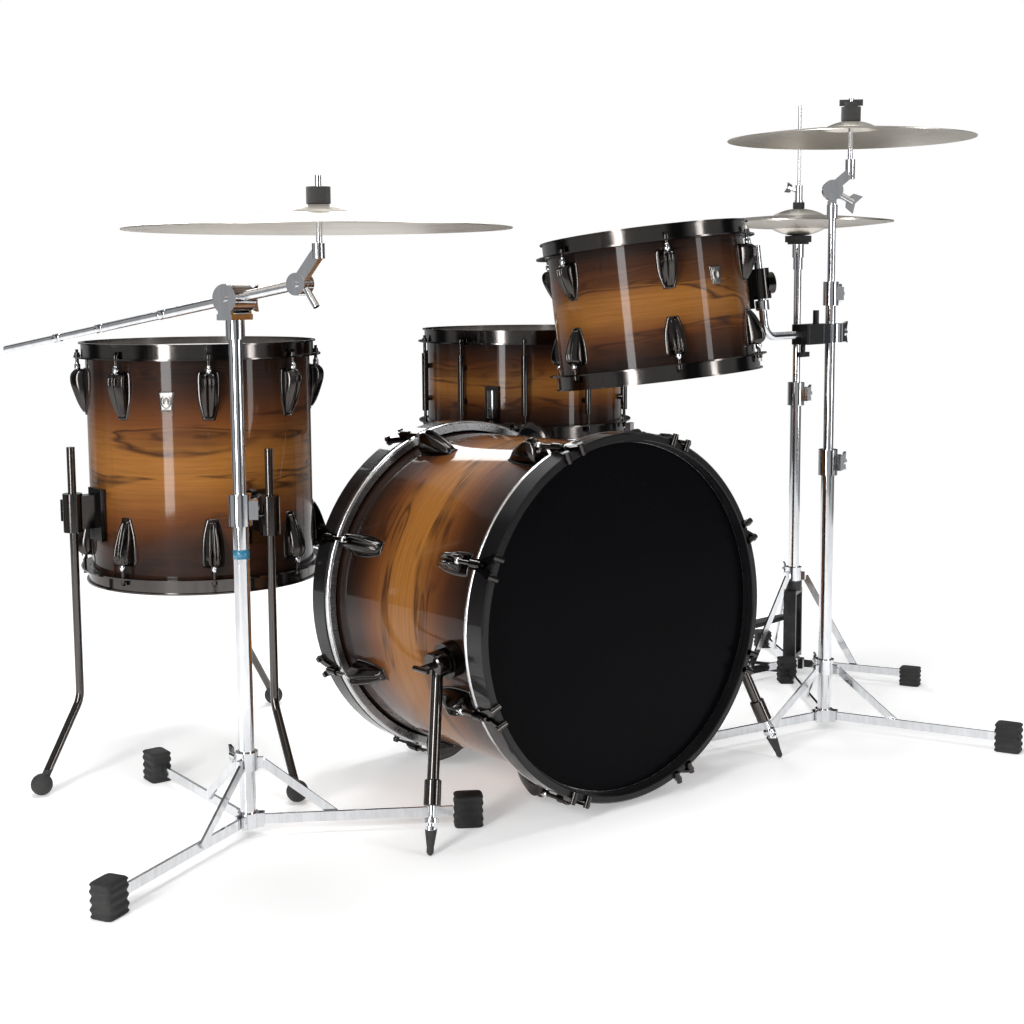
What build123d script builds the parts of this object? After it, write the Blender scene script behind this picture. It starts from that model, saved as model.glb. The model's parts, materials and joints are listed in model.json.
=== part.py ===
from build123d import *
from math import asin, atan2, cos, degrees, hypot, radians, sin
import os

# Acoustic drum kit in millimetres: bass drum, rack tom, floor tom, snare, two cymbal stands, hi-hat.
# +Z is up, the bass drum's front head faces -Y, and the floor is Z = 0.
# Places on the floor are measured from the foot of the bass drum's front face, and spot() moves them
# so that the origin is the middle of the kit's footprint.
CENTRE_X, CENTRE_Y = 82.4, 318.8

# Drums: shell radius, depth, wall
BASS_R, BASS_DEPTH, BASS_LUGS = 254.0, 406.4, 8
FLOOR_R, FLOOR_DEPTH, FLOOR_LUGS = 177.8, 355.6, 8
TOM_R, TOM_DEPTH, TOM_LUGS = 152.4, 203.2, 6
SNARE_R, SNARE_DEPTH, SNARE_LUGS = 177.8, 165.1, 10
SHELL_WALL = 6.5
HEAD_T = 1.0

# Flanged metal hoop
RIM_UP, RIM_SKIRT, RIM_T = 13.0, 11.0, 2.3
RIM_IN, RIM_TOP, RIM_EAR = 4.0, 10.0, 18.0
ROD_OUT, ROD_R, ROD_HOLE_R = 12.0, 2.8, 3.2

# Bass drum hoop, set-up height and hardware
HOOP_R, HOOP_T, HOOP_DEPTH, HOOP_PROUD = 273.0, 12.0, 38.0, 18.0
BASS_LENGTH = BASS_DEPTH + 2 * HOOP_PROUD
FRONT_LIFT = 10.0
FLESH_R, FLESH_T = 268.0, 8.0
BASS_ROD_R, BASS_ROD_OUT = 3.2, 279.0
SPUR_ANGLE, SPUR_Y, SPUR_HUB_R = 8.0, 95.0, 26.0
SPUR_TIP_X, SPUR_TIP_Y = 350.0, 20.0

# Floor places
FLOOR_AT = (-356.0, 640.0)
SNARE_AT = (290.0, 602.0)
BOOM_AT = (-500.0, 251.0)
STRAIGHT_AT = (544.0, 93.0)
HIHAT_AT = (789.0, 382.0)

# Heights of the rims and the rack tom's top rim, with the way its axis leans
FLOOR_TOP, SNARE_TOP = 684.0, 690.0
TOM_TOP_AT, TOM_LEAN = (163.0, 149.0, 848.0), (-0.061, 0.099, 0.993)

# Floor tom legs
LEG_R, LEG_OUT, LEG_BEND_Z, LEG_TOP_Z, LEG_KICK, FOOT_R = 6.35, 44.0, 130.0, 526.0, 90.0, 16.5
LEG_ANGLES = {"left": (179.5, 204.0), "front": (-90.5, -100.0), "rear": (44.5, 30.0)}

# Flat-based stands
STAND_FEET_R, HIHAT_FEET_R = 312.0, 230.0
BOOM_FEET_TURN, STRAIGHT_FEET_TURN, HIHAT_FEET_TURN = -32.0, -66.6, -63.0
BASE_TUBE_R, BOOM_TUBE_R, MIDDLE_TUBE_R, TOP_TUBE_R, HIHAT_TUBE_R = 11.1, 9.5, 8.5, 6.3, 7.0
SLIP = 0.06
HUB_Z, COLLAR_Z, COLLAR_H = 22.0, 95.0, 26.0
BAR_H, BAR_T = 14.0, 5.0
BASE_TOP, CLAMP_H = 442.0, 44.0
PIVOT_Z = 754.0
BOOM_REACH, BOOM_TAIL, BOOM_TURN, BOOM_RISE = 109.6, 440.0, -66.9, 9.8
BOOM_STEM_X, STRAIGHT_STEM_X, STRAIGHT_TURN = 142.5, 28.0, -45.0
MIDDLE_TOP, STRAIGHT_PIVOT_Z = 742.0, 922.0
HIHAT_COLLAR_Z = 188.0

# Cymbals: radius, bow height, bell radius, bell height, rim height
CYMBAL_T, CYMBAL_HOLE_R = 1.2, 6.5
BOOM_CYMBAL = (254.0, 20.0, 55.0, 12.0)
STRAIGHT_CYMBAL = (203.2, 16.0, 46.0, 13.0)
HIHAT_CYMBAL = (177.8, 11.0, 50.0, 13.0)
BOOM_RIM_Z, STRAIGHT_RIM_Z, HIHAT_RIM_Z = 845.0, 1006.0, 883.0
STEM_R = 4.0

# Tom arm: the corner of its L-shaped rod, and the lengths of its two limbs
ARM_R, ARM_CORNER, ARM_UP, ARM_SIDE = 6.35, (336.0, 49.0, 684.0), 145.0, 170.0

os.makedirs("parts", exist_ok=True)


def spot(x, y, z=0.0):
    """A point given from the bass drum's front foot, in the kit's own frame."""
    return Vector(x - CENTRE_X, y - CENTRE_Y, z)


def save(piece, name, place=Location()):
    """Set a piece in its place, label it and write it."""
    part = piece.part.moved(place)
    part.label = name
    export_step(part, f"parts/{name}.step")


def stand_place(at, turn=0.0):
    """The place of a stand: its foot on the floor, turned about its tube."""
    return Location(spot(*at), (0, 0, turn))


def ring(r_out, r_in, z_low, z_high):
    """A plain ring or tube about the Z axis, as a separate solid."""
    with BuildPart() as made:
        with BuildSketch(Plane.XY.offset(z_low)):
            Circle(r_out)
            Circle(r_in, mode=Mode.SUBTRACT)
        extrude(amount=z_high - z_low)
    return made.part


def turned(points):
    """A solid turned about the Z axis from (radius, height) corners."""
    with BuildPart() as made:
        with BuildSketch(Plane.XZ):
            with BuildLine():
                Polyline(*points, close=True)
            make_face()
        revolve(axis=Axis.Z)
    return made.part


def rod_between(start, end, radius, chamfer_by=0.0):
    """A round rod from one point to another."""
    start, end = Vector(*start), Vector(*end)
    with BuildPart() as made:
        with BuildSketch(Plane(origin=start, z_dir=end - start)):
            Circle(radius)
        extrude(amount=(end - start).length)
        if chamfer_by:
            chamfer(made.edges().filter_by(GeomType.CIRCLE), chamfer_by)
    return made.part


def wing(size, thick, stem):
    """A wing screw along +X: a hub and two raised wings."""
    with BuildPart() as made:
        with BuildSketch(Plane.YZ):
            Circle(size * 0.22)
        extrude(amount=stem)
        with BuildSketch(Plane.XZ.offset(-thick / 2)):
            with BuildLine():
                Polyline((stem * 0.5, 0), (stem * 0.75, size * 0.5), (stem * 1.35, size * 0.62),
                         (stem * 1.15, 0), (stem * 1.35, -size * 0.62), (stem * 0.75, -size * 0.5),
                         close=True)
            make_face()
        extrude(amount=thick)
    return made.part


# ---------------------------------------------------------------- drums with flanged metal hoops

def shell_part(radius, depth):
    """A wooden shell hanging below the rim plane, with bearing edges cut to 45 degrees inside."""
    low = -RIM_UP - depth
    edge = SHELL_WALL * 0.7
    return turned([(radius, -RIM_UP), (radius - 1.5, -RIM_UP), (radius - 1.5 - edge, -RIM_UP - edge),
                   (radius - SHELL_WALL - 0.5, low + edge + 2), (radius - 1.5, low), (radius, low)])


def head_part(radius):
    """A drum head: its film and the flesh hoop round its edge."""
    return turned([(0, -RIM_UP), (radius + 0.3, -RIM_UP), (radius + 0.3, -RIM_UP - 9),
                   (radius + 3.8, -RIM_UP - 9),
                   (radius + 3.8, -RIM_UP + HEAD_T), (0, -RIM_UP + HEAD_T)])


def rim_part(radius, lugs, first):
    """A flanged hoop with a hole through its ear over every lug."""
    inner, outer, foot = radius + RIM_IN, radius + RIM_IN + RIM_T, -RIM_UP - RIM_SKIRT
    with BuildPart() as made:
        with BuildSketch(Plane.XZ):
            with BuildLine():
                Polyline((radius + 1.5, -RIM_UP + HEAD_T), (inner, -RIM_UP + HEAD_T), (inner, foot),
                         (radius + RIM_EAR, foot), (radius + RIM_EAR, foot + RIM_T), (outer, foot + RIM_T),
                         (outer, -RIM_T), (radius + RIM_TOP, -RIM_T), (radius + RIM_TOP, 0), (inner, 0),
                         (inner, -RIM_UP + HEAD_T + RIM_T), (radius + 1.5, -RIM_UP + HEAD_T + RIM_T),
                         close=True)
            make_face()
        revolve(axis=Axis.Z)
        with Locations((0, 0, foot + RIM_T / 2)):
            with PolarLocations(radius + ROD_OUT, lugs, start_angle=first):
                Cylinder(ROD_HOLE_R, RIM_T * 3, mode=Mode.SUBTRACT)
    return made.part


def rod_part(radius, end):
    """A key rod: square-drive head on the hoop's ear, washer, and a shank down to the lug."""
    ear = -RIM_UP - RIM_SKIRT + RIM_T
    with BuildPart() as made:
        with Locations((radius + ROD_OUT, 0, (ear + end) / 2)):
            Cylinder(ROD_R, ear - end)
        with Locations((radius + ROD_OUT, 0, ear + 0.8)):
            Cylinder(5.0, 1.6)
        with Locations((radius + ROD_OUT, 0, ear + 3.6)):
            Cylinder(4.2, 4.0)
        with Locations((radius + ROD_OUT, 0, ear + 8.0)):
            Box(4.6, 4.6, 5.0)
    return made.part


def lug_part(radius, start, length, width, height):
    """A long lug casing, widest behind its middle, with a bore for its rod. It hangs down from start."""
    steps = ((0.0, 0.62, 0.80), (0.30, 0.80, 0.95), (0.62, 1.0, 1.0), (0.86, 0.72, 0.70), (1.0, 0.34, 0.40))
    with BuildPart() as made:
        for along, wide, high in steps:
            with BuildSketch(Plane.XY.offset(start - along * length)):
                with Locations((radius + height * high / 2, 0)):
                    RectangleRounded(height * high, width * wide, width * wide * 0.28)
        loft()
        with Locations((radius + ROD_OUT, 0, start)):
            Cylinder(ROD_HOLE_R, length * 0.9, mode=Mode.SUBTRACT)
    return made.part


def tube_lug_part(radius, start, length):
    """A snare tube lug: a bored tube held off the shell on two posts."""
    with BuildPart() as made:
        with Locations((radius + ROD_OUT, 0, start - length / 2)):
            Cylinder(5.5, length)
        for post in (0.22, 0.78):
            with Locations(Location((radius + ROD_OUT / 2, 0, start - length * post), (0, 90, 0))):
                Cylinder(5.0, ROD_OUT)
        with Locations((radius + ROD_OUT, 0, start - length / 2)):
            Cylinder(ROD_HOLE_R, length, mode=Mode.SUBTRACT)
    with BuildPart() as trimmed:
        add(made.part)
        with Locations((0, 0, start - length / 2)):
            Cylinder(radius, length * 2, mode=Mode.SUBTRACT)
    return trimmed.part


def both_ends(part, depth):
    """A piece at the top of a drum and its mirror image at the bottom."""
    low = -RIM_UP - depth / 2
    return [part, mirror(part, about=Plane.XY.offset(low), mode=Mode.PRIVATE)]


def around(parts, count, first):
    """The same pieces at every lug round a drum."""
    with BuildPart() as made:
        with PolarLocations(0, count, start_angle=first):
            for part in parts:
                add(part)
    return made


def pair(parts):
    """Separate pieces in one node."""
    with BuildPart() as made:
        for part in parts:
            add(part)
    return made


def flanged_drum(name, radius, depth, lugs, first, place, lug, rod_end):
    """Write a drum's shell, heads, hoops, lugs and tension rods."""
    with BuildPart() as shell:
        add(shell_part(radius, depth))
    save(shell, f"{name}_shell", place)
    save(pair(both_ends(head_part(radius), depth)), f"{name}_heads", place)
    save(pair(both_ends(rim_part(radius, lugs, first), depth)), f"{name}_hoops", place)
    save(around(lug, lugs, first), f"{name}_lugs", place)
    save(around(both_ends(rod_part(radius, rod_end), depth), lugs, first), f"{name}_tension_rods", place)


# Floor tom
floor_place = Location(spot(*FLOOR_AT, FLOOR_TOP))
FLOOR_FIRST = -113.0
floor_lug = lug_part(FLOOR_R, -42.0, 71.0, 26.0, 24.0)
flanged_drum("floor", FLOOR_R, FLOOR_DEPTH, FLOOR_LUGS, FLOOR_FIRST, floor_place,
             both_ends(floor_lug, FLOOR_DEPTH), -62.0)

# Rack tom
tom_z = Vector(*TOM_LEAN).normalized()
tom_plane = Plane(origin=spot(*TOM_TOP_AT), x_dir=Vector(1, 0, -tom_z.X / tom_z.Z), z_dir=tom_z)
TOM_FIRST = -2.0
tom_lug = lug_part(TOM_R, -38.0, 56.0, 24.0, 22.0)
flanged_drum("tom", TOM_R, TOM_DEPTH, TOM_LUGS, TOM_FIRST, tom_plane.location,
             both_ends(tom_lug, TOM_DEPTH), -56.0)

# Snare
snare_place = Location(spot(*SNARE_AT, SNARE_TOP))
SNARE_FIRST = -129.0
SNARE_LUG_L = 104.0
snare_lug = tube_lug_part(SNARE_R, -RIM_UP - (SNARE_DEPTH - SNARE_LUG_L) / 2, SNARE_LUG_L)
flanged_drum("snare", SNARE_R, SNARE_DEPTH, SNARE_LUGS, SNARE_FIRST, snare_place, [snare_lug], -58.0)

# ---------------------------------------------------------------- bass drum
# Drawn about its own axis: local Z runs from the front hoop's face to the rear, local Y points down.
bass_tilt = asin(FRONT_LIFT / BASS_LENGTH)
bass_plane = Plane(origin=spot(0, 0, HOOP_R * cos(bass_tilt) + FRONT_LIFT), x_dir=(1, 0, 0),
                   z_dir=(0, cos(bass_tilt), -FRONT_LIFT / BASS_LENGTH))
bass_place = bass_plane.location
BASS_FIRST = 22.5
HEAD_Z = HOOP_PROUD - HEAD_T
BASS_LUG_START, BASS_LUG_L, BASS_LUG_W, BASS_LUG_H = 74.0, 72.0, 30.0, 33.0


def bass_ends(part):
    """A piece at the front of the bass drum and its mirror image at the rear."""
    return [part, mirror(part, about=Plane.XY.offset(BASS_LENGTH / 2), mode=Mode.PRIVATE)]


def bass_lug_part():
    """A bass lug casing: tall where the rod enters, pinched at its middle, low at its far end."""
    steps = ((0.0, 0.60, 1.0), (0.22, 0.78, 1.0), (0.50, 0.62, 0.62), (0.80, 1.0, 0.52), (1.0, 0.55, 0.24))
    with BuildPart() as made:
        for along, wide, high in steps:
            with BuildSketch(Plane.XY.offset(BASS_LUG_START + along * BASS_LUG_L)):
                with Locations((BASS_R + BASS_LUG_H * high / 2, 0)):
                    RectangleRounded(BASS_LUG_H * high, BASS_LUG_W * wide, BASS_LUG_H * high * 0.24)
        loft(ruled=True)
        with Locations((BASS_ROD_OUT, 0, BASS_LUG_START)):
            Cylinder(BASS_ROD_R + 0.4, BASS_LUG_L * 0.3, mode=Mode.SUBTRACT)
    return made.part


def claw_part():
    """A claw: a Y-shaped plate over the wood hoop, a bored boss, and two hooks over its front edge."""
    face = HOOP_R + 0.4
    with BuildPart() as made:
        with BuildSketch(Plane.YZ.offset(face)):
            with BuildLine():
                Polyline((-7, 42), (-9, 24), (-19, -5), (-9, -5), (0, 15), (9, -5), (19, -5), (9, 24),
                         (7, 42),
                         close=True)
            make_face()
        extrude(amount=4.5)
        for side in (-14, 14):
            with Locations(Location((HOOP_R - 1.5, side, -2.8), (0, 90, 0))):
                Cylinder(4.4, 18)
        with Locations((BASS_ROD_OUT, 0, 33)):
            Cylinder(5.5, 18)
    with BuildPart() as trimmed:
        add(made.part)
        with Locations((0, 0, 50)):
            Cylinder(face - 0.2, 100.4, mode=Mode.SUBTRACT)
        with Locations((BASS_ROD_OUT, 0, 33)):
            Cylinder(BASS_ROD_R + 0.3, 40, mode=Mode.SUBTRACT)
        with Locations((BASS_ROD_OUT, 0, 17)):
            Cylinder(5.4, 14.2, mode=Mode.SUBTRACT)
    return trimmed.part


def bass_rod_part():
    """A bass tension rod with its key head in front of the claw's boss."""
    with BuildPart() as made:
        with Locations((BASS_ROD_OUT, 0, (24 + BASS_LUG_START + 10) / 2)):
            Cylinder(BASS_ROD_R, BASS_LUG_START + 10 - 24)
        with Locations((BASS_ROD_OUT, 0, 22)):
            Cylinder(4.8, 4)
        with Locations((BASS_ROD_OUT, 0, 17)):
            Box(5, 5, 6)
    return made.part


with BuildPart() as bass_shell:
    add(ring(BASS_R, BASS_R - SHELL_WALL, HOOP_PROUD, BASS_LENGTH - HOOP_PROUD))
save(bass_shell, "bass_shell", bass_place)

wood_hoop = turned([(HOOP_R - HOOP_T, 1.5), (HOOP_R - HOOP_T + 1.5, 0), (HOOP_R - 2.5, 0), (HOOP_R, 2.5),
                    (HOOP_R, HOOP_DEPTH - 2.5), (HOOP_R - 2.5, HOOP_DEPTH), (HOOP_R - HOOP_T, HOOP_DEPTH),
                    (HOOP_R - HOOP_T, HEAD_Z), (BASS_R + 4, HEAD_Z), (BASS_R + 4, HEAD_Z - 6),
                    (HOOP_R - HOOP_T, HEAD_Z - 6)])
save(pair(bass_ends(wood_hoop)), "bass_hoops", bass_place)

bass_head = turned([(0, HEAD_Z), (BASS_R + 3.6, HEAD_Z), (BASS_R + 3.6, HEAD_Z + 14),
                    (BASS_R + 0.3, HEAD_Z + 14),
                    (BASS_R + 0.3, HOOP_PROUD), (0, HOOP_PROUD)])
save(pair(bass_ends(bass_head)), "bass_heads", bass_place)

flesh_low = HOOP_DEPTH + 0.2
flesh_hoop = turned([(BASS_R + 3.8, HEAD_Z), (HOOP_R - HOOP_T - 0.2, HEAD_Z),
                     (HOOP_R - HOOP_T - 0.2, flesh_low),
                     (FLESH_R, flesh_low), (FLESH_R, flesh_low + FLESH_T),
                     (BASS_R + 3.8, flesh_low + FLESH_T)])
save(pair(bass_ends(flesh_hoop)), "bass_flesh_hoops", bass_place)
save(around(bass_ends(bass_lug_part()), BASS_LUGS, BASS_FIRST), "bass_lugs", bass_place)
save(around(bass_ends(claw_part()), BASS_LUGS, BASS_FIRST), "bass_claws", bass_place)
save(around(bass_ends(bass_rod_part()), BASS_LUGS, BASS_FIRST), "bass_tension_rods", bass_place)


def spur_line(side):
    """The spur's hub direction, knuckle centre and foot centre, in the drum's own frame."""
    out = Vector(side * cos(radians(SPUR_ANGLE)), sin(radians(SPUR_ANGLE)), 0)
    knuckle = out * (BASS_R + 29) + Vector(0, 0, SPUR_Y)
    foot = bass_plane.to_local_coords(spot(side * SPUR_TIP_X, SPUR_TIP_Y, 4.0))
    return out, knuckle, foot


SPUR_ROD_R, SPUR_TUBE_R = 5.0, 8.5
with BuildPart() as spur_brackets:
    for side in (-1, 1):
        out, knuckle, foot = spur_line(side)
        add(rod_between(out * 245 + Vector(0, 0, SPUR_Y), out * (BASS_R + 17) + Vector(0, 0, SPUR_Y),
                        SPUR_HUB_R))
    Cylinder(BASS_R, 3 * SPUR_Y, align=(Align.CENTER, Align.CENTER, Align.MIN), mode=Mode.SUBTRACT)
save(spur_brackets, "spur_brackets", bass_place)

for side, name in ((-1, "left"), (1, "right")):
    out, knuckle, foot = spur_line(side)
    along = (foot - knuckle).normalized()
    length = (foot - knuckle).length
    hub_start = out * (BASS_R + 17.3) + Vector(0, 0, SPUR_Y)
    screw_start = out * (BASS_R + 40) + Vector(0, 0, SPUR_Y)
    screw_end = out * (BASS_R + 58) + Vector(0, 0, SPUR_Y)
    bar = Vector(0, 0, 17)
    with BuildPart() as spur_tube:
        add(rod_between(hub_start, screw_start, 19.0, 2.0))
        add(rod_between(knuckle, knuckle + along * length * 0.64, SPUR_TUBE_R))
        add(rod_between(knuckle + along * length * 0.62, knuckle + along * length * 0.76, 12.0, 1.5))
        add(rod_between(screw_start, screw_end, 5.0))
        add(rod_between(screw_end - bar, screw_end + bar, 4.0, 1.0))
        add(rod_between(knuckle + along * 30, foot, SPUR_ROD_R + SLIP), mode=Mode.SUBTRACT)
    save(spur_tube, f"spur_tube_{name}", bass_place)
    with BuildPart() as spur_rod:
        add(rod_between(knuckle + along * length * 0.42, foot, SPUR_ROD_R))
        add(rod_between(knuckle + along * length * 0.82, knuckle + along * length * 0.85, 10.0, 0.8))
        with BuildSketch(Plane(origin=knuckle + along * length * 0.865, z_dir=along)):
            Circle(9.0)
        with BuildSketch(Plane(origin=foot, z_dir=along)):
            Circle(4.0)
        loft()
        with Locations(foot):
            Sphere(4.0)
    save(spur_rod, f"spur_rod_{name}", bass_place)

# ---------------------------------------------------------------- floor tom legs and their brackets
leg_circle = FLOOR_R + LEG_OUT
bracket_low, bracket_high = 377.0, 459.0
with BuildPart() as floor_leg_brackets:
    for angle, _ in LEG_ANGLES.values():
        with Locations(Location((0, 0, 0), (0, 0, angle))):
            with Locations((FLOOR_R + 4, 0, (bracket_low + bracket_high) / 2)):
                Box(8.6, 46, bracket_high - bracket_low)
            with Locations((FLOOR_R + LEG_OUT / 2, 0, 424)):
                Box(LEG_OUT, 22, 52)
            with Locations((leg_circle, 0, 424)):
                Cylinder(15, 60)
                Cylinder(LEG_R + SLIP, 200, mode=Mode.SUBTRACT)
            with Locations(Location((leg_circle, 0, 424), (90, 0, 0))):
                with Locations((0, 0, 24)):
                    Cylinder(4.5, 18)
                with Locations((0, 0, 35)):
                    Box(9, 34, 7)
    with Locations((0, 0, 424)):
        Cylinder(FLOOR_R, 200, mode=Mode.SUBTRACT)
    for angle, _ in LEG_ANGLES.values():
        with Locations(Location((0, 0, 0), (0, 0, angle))):
            with Locations((leg_circle, 0, 424)):
                Cylinder(LEG_R + SLIP, 200, mode=Mode.SUBTRACT)
save(floor_leg_brackets, "floor_leg_brackets", Location(spot(*FLOOR_AT)))

for name, (angle, kick_angle) in LEG_ANGLES.items():
    kick = radians(kick_angle - angle)
    foot = (leg_circle + LEG_KICK * cos(kick), LEG_KICK * sin(kick), FOOT_R)
    with BuildPart() as floor_leg:
        with BuildLine() as line:
            FilletPolyline((leg_circle, 0, LEG_TOP_Z), (leg_circle, 0, LEG_BEND_Z), foot, radius=38)
        with BuildSketch(Plane(origin=(leg_circle, 0, LEG_TOP_Z), z_dir=(0, 0, -1))):
            Circle(LEG_R)
        sweep(path=line.line)
        with Locations(foot):
            Sphere(FOOT_R)
    save(floor_leg, f"floor_leg_{name}", Location(spot(*FLOOR_AT), (0, 0, angle)))


# ---------------------------------------------------------------- rack tom mounting
arm_foot = tom_plane.to_local_coords(spot(*ARM_CORNER))
arm_angle = degrees(atan2(arm_foot.Y, arm_foot.X))
arm_out = hypot(arm_foot.X, arm_foot.Y)
boss_z = arm_foot.Z + 84.0
with BuildPart() as tom_bracket:
    with Locations(Location((0, 0, 0), (0, 0, arm_angle))):
        with Locations((TOM_R + 4, 0, boss_z)):
            Box(8.6, 50, 76)
        with Locations((TOM_R + 3 + (arm_out - TOM_R) / 2, 0, boss_z)):
            Box(arm_out - TOM_R, 24, 38)
        with Locations((arm_out, 0, boss_z)):
            Cylinder(16, 48)
        with Locations(Location((arm_out + 15, 0, boss_z), (0, 90, 0))):
            Cylinder(17, 12)
        with Locations((arm_out, 0, boss_z)):
            Cylinder(ARM_R + SLIP, 90, mode=Mode.SUBTRACT)
    with Locations((0, 0, boss_z)):
        Cylinder(TOM_R, 200, mode=Mode.SUBTRACT)
save(tom_bracket, "tom_bracket", tom_plane.location)

corner = spot(*ARM_CORNER)
arm_way = (spot(*STRAIGHT_AT, ARM_CORNER[2]) - corner).normalized()
arm_turn = degrees(atan2(arm_way.Y, arm_way.X))
arm_span = (spot(*STRAIGHT_AT, ARM_CORNER[2]) - corner).length
with BuildPart() as tom_l_rod:
    with BuildLine() as arm_line:
        FilletPolyline(corner + tom_z * ARM_UP, corner, corner + arm_way * ARM_SIDE, radius=24)
    with BuildSketch(Plane(origin=corner + tom_z * ARM_UP, z_dir=-tom_z)):
        Circle(ARM_R)
    sweep(path=arm_line.line)
    add(rod_between(corner + tom_z * 42, corner + tom_z * 58, 11.0, 1.0))
save(tom_l_rod, "tom_l_rod")

# The clamp is drawn along the arm's lying limb: X from the corner towards the stand's tube.
with BuildPart() as tom_clamp:
    with Locations((arm_span - 64, 0, 0)):
        Box(76, 34, 33)
    fillet(tom_clamp.edges().filter_by(Axis.Z), 4)
    with Locations((arm_span, 0, 0)):
        Cylinder(21, 31)
        Box(54, 26, 31)
    with Locations((arm_span, 0, 0)):
        Cylinder(MIDDLE_TUBE_R, 60, mode=Mode.SUBTRACT)
    with Locations(Location((arm_span - 78, 0, 0), (0, 90, 0))):
        Cylinder(ARM_R + SLIP, 76, mode=Mode.SUBTRACT)
    with Locations((arm_span - 92, 0, -25)):
        Cylinder(4, 18)
    with Locations((arm_span - 92, 0, -33)):
        Box(34, 6, 8)
    with Locations((arm_span - 50, 0, 27)):
        Cylinder(5, 24)
    with Locations((arm_span + 26, 0, 0)):
        add(wing(30, 5, 24))
save(tom_clamp, "tom_clamp", Location(corner, (0, 0, arm_turn)))

# ---------------------------------------------------------------- snare strainer, wires and basket
STRAINER_TURN, LEVER_OUT, LEVER_PIN_Z = -147.0, 14.0, -148.5
with BuildPart() as snare_strainer:
    with Locations(Location((0, 0, 0), (0, 0, STRAINER_TURN))):
        with Locations((SNARE_R + 4, 0, -128)):
            Box(10, 24, 62)
        for side in (-8.5, 8.5):
            with Locations((SNARE_R + 12, side, -146)):
                Box(10, 5, 20)
            with Locations(Location((SNARE_R + LEVER_OUT, side, LEVER_PIN_Z), (90, 0, 0))):
                Cylinder(2 + SLIP, 8, mode=Mode.SUBTRACT)
    with Locations(Location((0, 0, 0), (0, 0, STRAINER_TURN + 180))):
        with Locations((SNARE_R + 4, 0, -146)):
            Box(12, 26, 26)
    with Locations((0, 0, -130)):
        Cylinder(SNARE_R, 100, mode=Mode.SUBTRACT)
save(snare_strainer, "snare_strainer", snare_place)

with BuildPart() as snare_lever:
    with Locations(Location((0, 0, 0), (0, 0, STRAINER_TURN))):
        with Locations((SNARE_R + LEVER_OUT, 0, -128)):
            Box(6, 10.5, 48)
    fillet(snare_lever.edges().filter_by(Axis.Z), 1.5)
    with Locations(Location((0, 0, 0), (0, 0, STRAINER_TURN))):
        with Locations(Location((SNARE_R + LEVER_OUT, 0, LEVER_PIN_Z), (90, 0, 0))):
            Cylinder(2, 20)
save(snare_lever, "snare_lever", snare_place)

wires_z = -RIM_UP - SNARE_DEPTH - HEAD_T - 1.2
with BuildPart() as snare_wires:
    with Locations(Location((0, 0, wires_z), (0, 0, STRAINER_TURN))):
        with GridLocations(0, 3.6, 1, 12):
            with Locations(Location((0, 0, 0), (0, 90, 0))):
                Cylinder(0.8, 276)
        with Locations((-144, 0, 0), (144, 0, 0)):
            Box(18, 44, 1.6)
save(snare_wires, "snare_wires", snare_place)

SNARE_FEET_TURN, SNARE_CLAMP_Z, BASKET_TUBE_R = -80.0, 306.0, 8.5
hoop_low = SNARE_TOP - 2 * RIM_UP - SNARE_DEPTH
with BuildPart() as snare_basket:
    with Locations((0, 0, 350)):
        Cylinder(BASKET_TUBE_R, 260)
    with Locations((0, 0, hoop_low - 18)):
        Cylinder(20, 30)
    with PolarLocations(0, 3, start_angle=-60):
        with Locations((105, 0, hoop_low - 6.2)):
            Box(206, 14, 12)
        with Locations((203, 0, hoop_low + 4)):
            Box(10, 22, 32)
save(snare_basket, "snare_basket", Location(spot(*SNARE_AT)))


# ---------------------------------------------------------------- flat-based stands
def bar_between(start, end, wide, thick):
    """A flat bar whose wide side lies in the vertical plane through its ends."""
    start, end = Vector(*start), Vector(*end)
    with BuildPart() as made:
        with BuildSketch(Plane(origin=start, x_dir=(0, 1, 0), z_dir=end - start)):
            Rectangle(thick, wide)
        extrude(amount=(end - start).length)
    return made.part


def leg_bar(feet_r, block_l):
    return bar_between((20.2, 0, HUB_Z), (feet_r - block_l / 2, 0, HUB_Z), BAR_H, BAR_T)


def strut_bar(collar_z):
    return bar_between((22, 5.2, collar_z + 8), (122, 5.2, HUB_Z + 2), 12, 4)


def foot_block(feet_r, length, width, height):
    """A ribbed rubber block on the end of a leg."""
    with BuildPart() as made:
        with Locations((feet_r, 0, height / 2)):
            Box(length, width, height)
        fillet(made.edges().filter_by(Axis.Z), 4)
        ribs = round(length / 7.5)
        with Locations((feet_r, 0, height / 2)):
            with GridLocations(length / ribs, width, ribs, 2):
                Box(2.4, 3.0, height * 0.8, mode=Mode.SUBTRACT)
    return made.part


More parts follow.
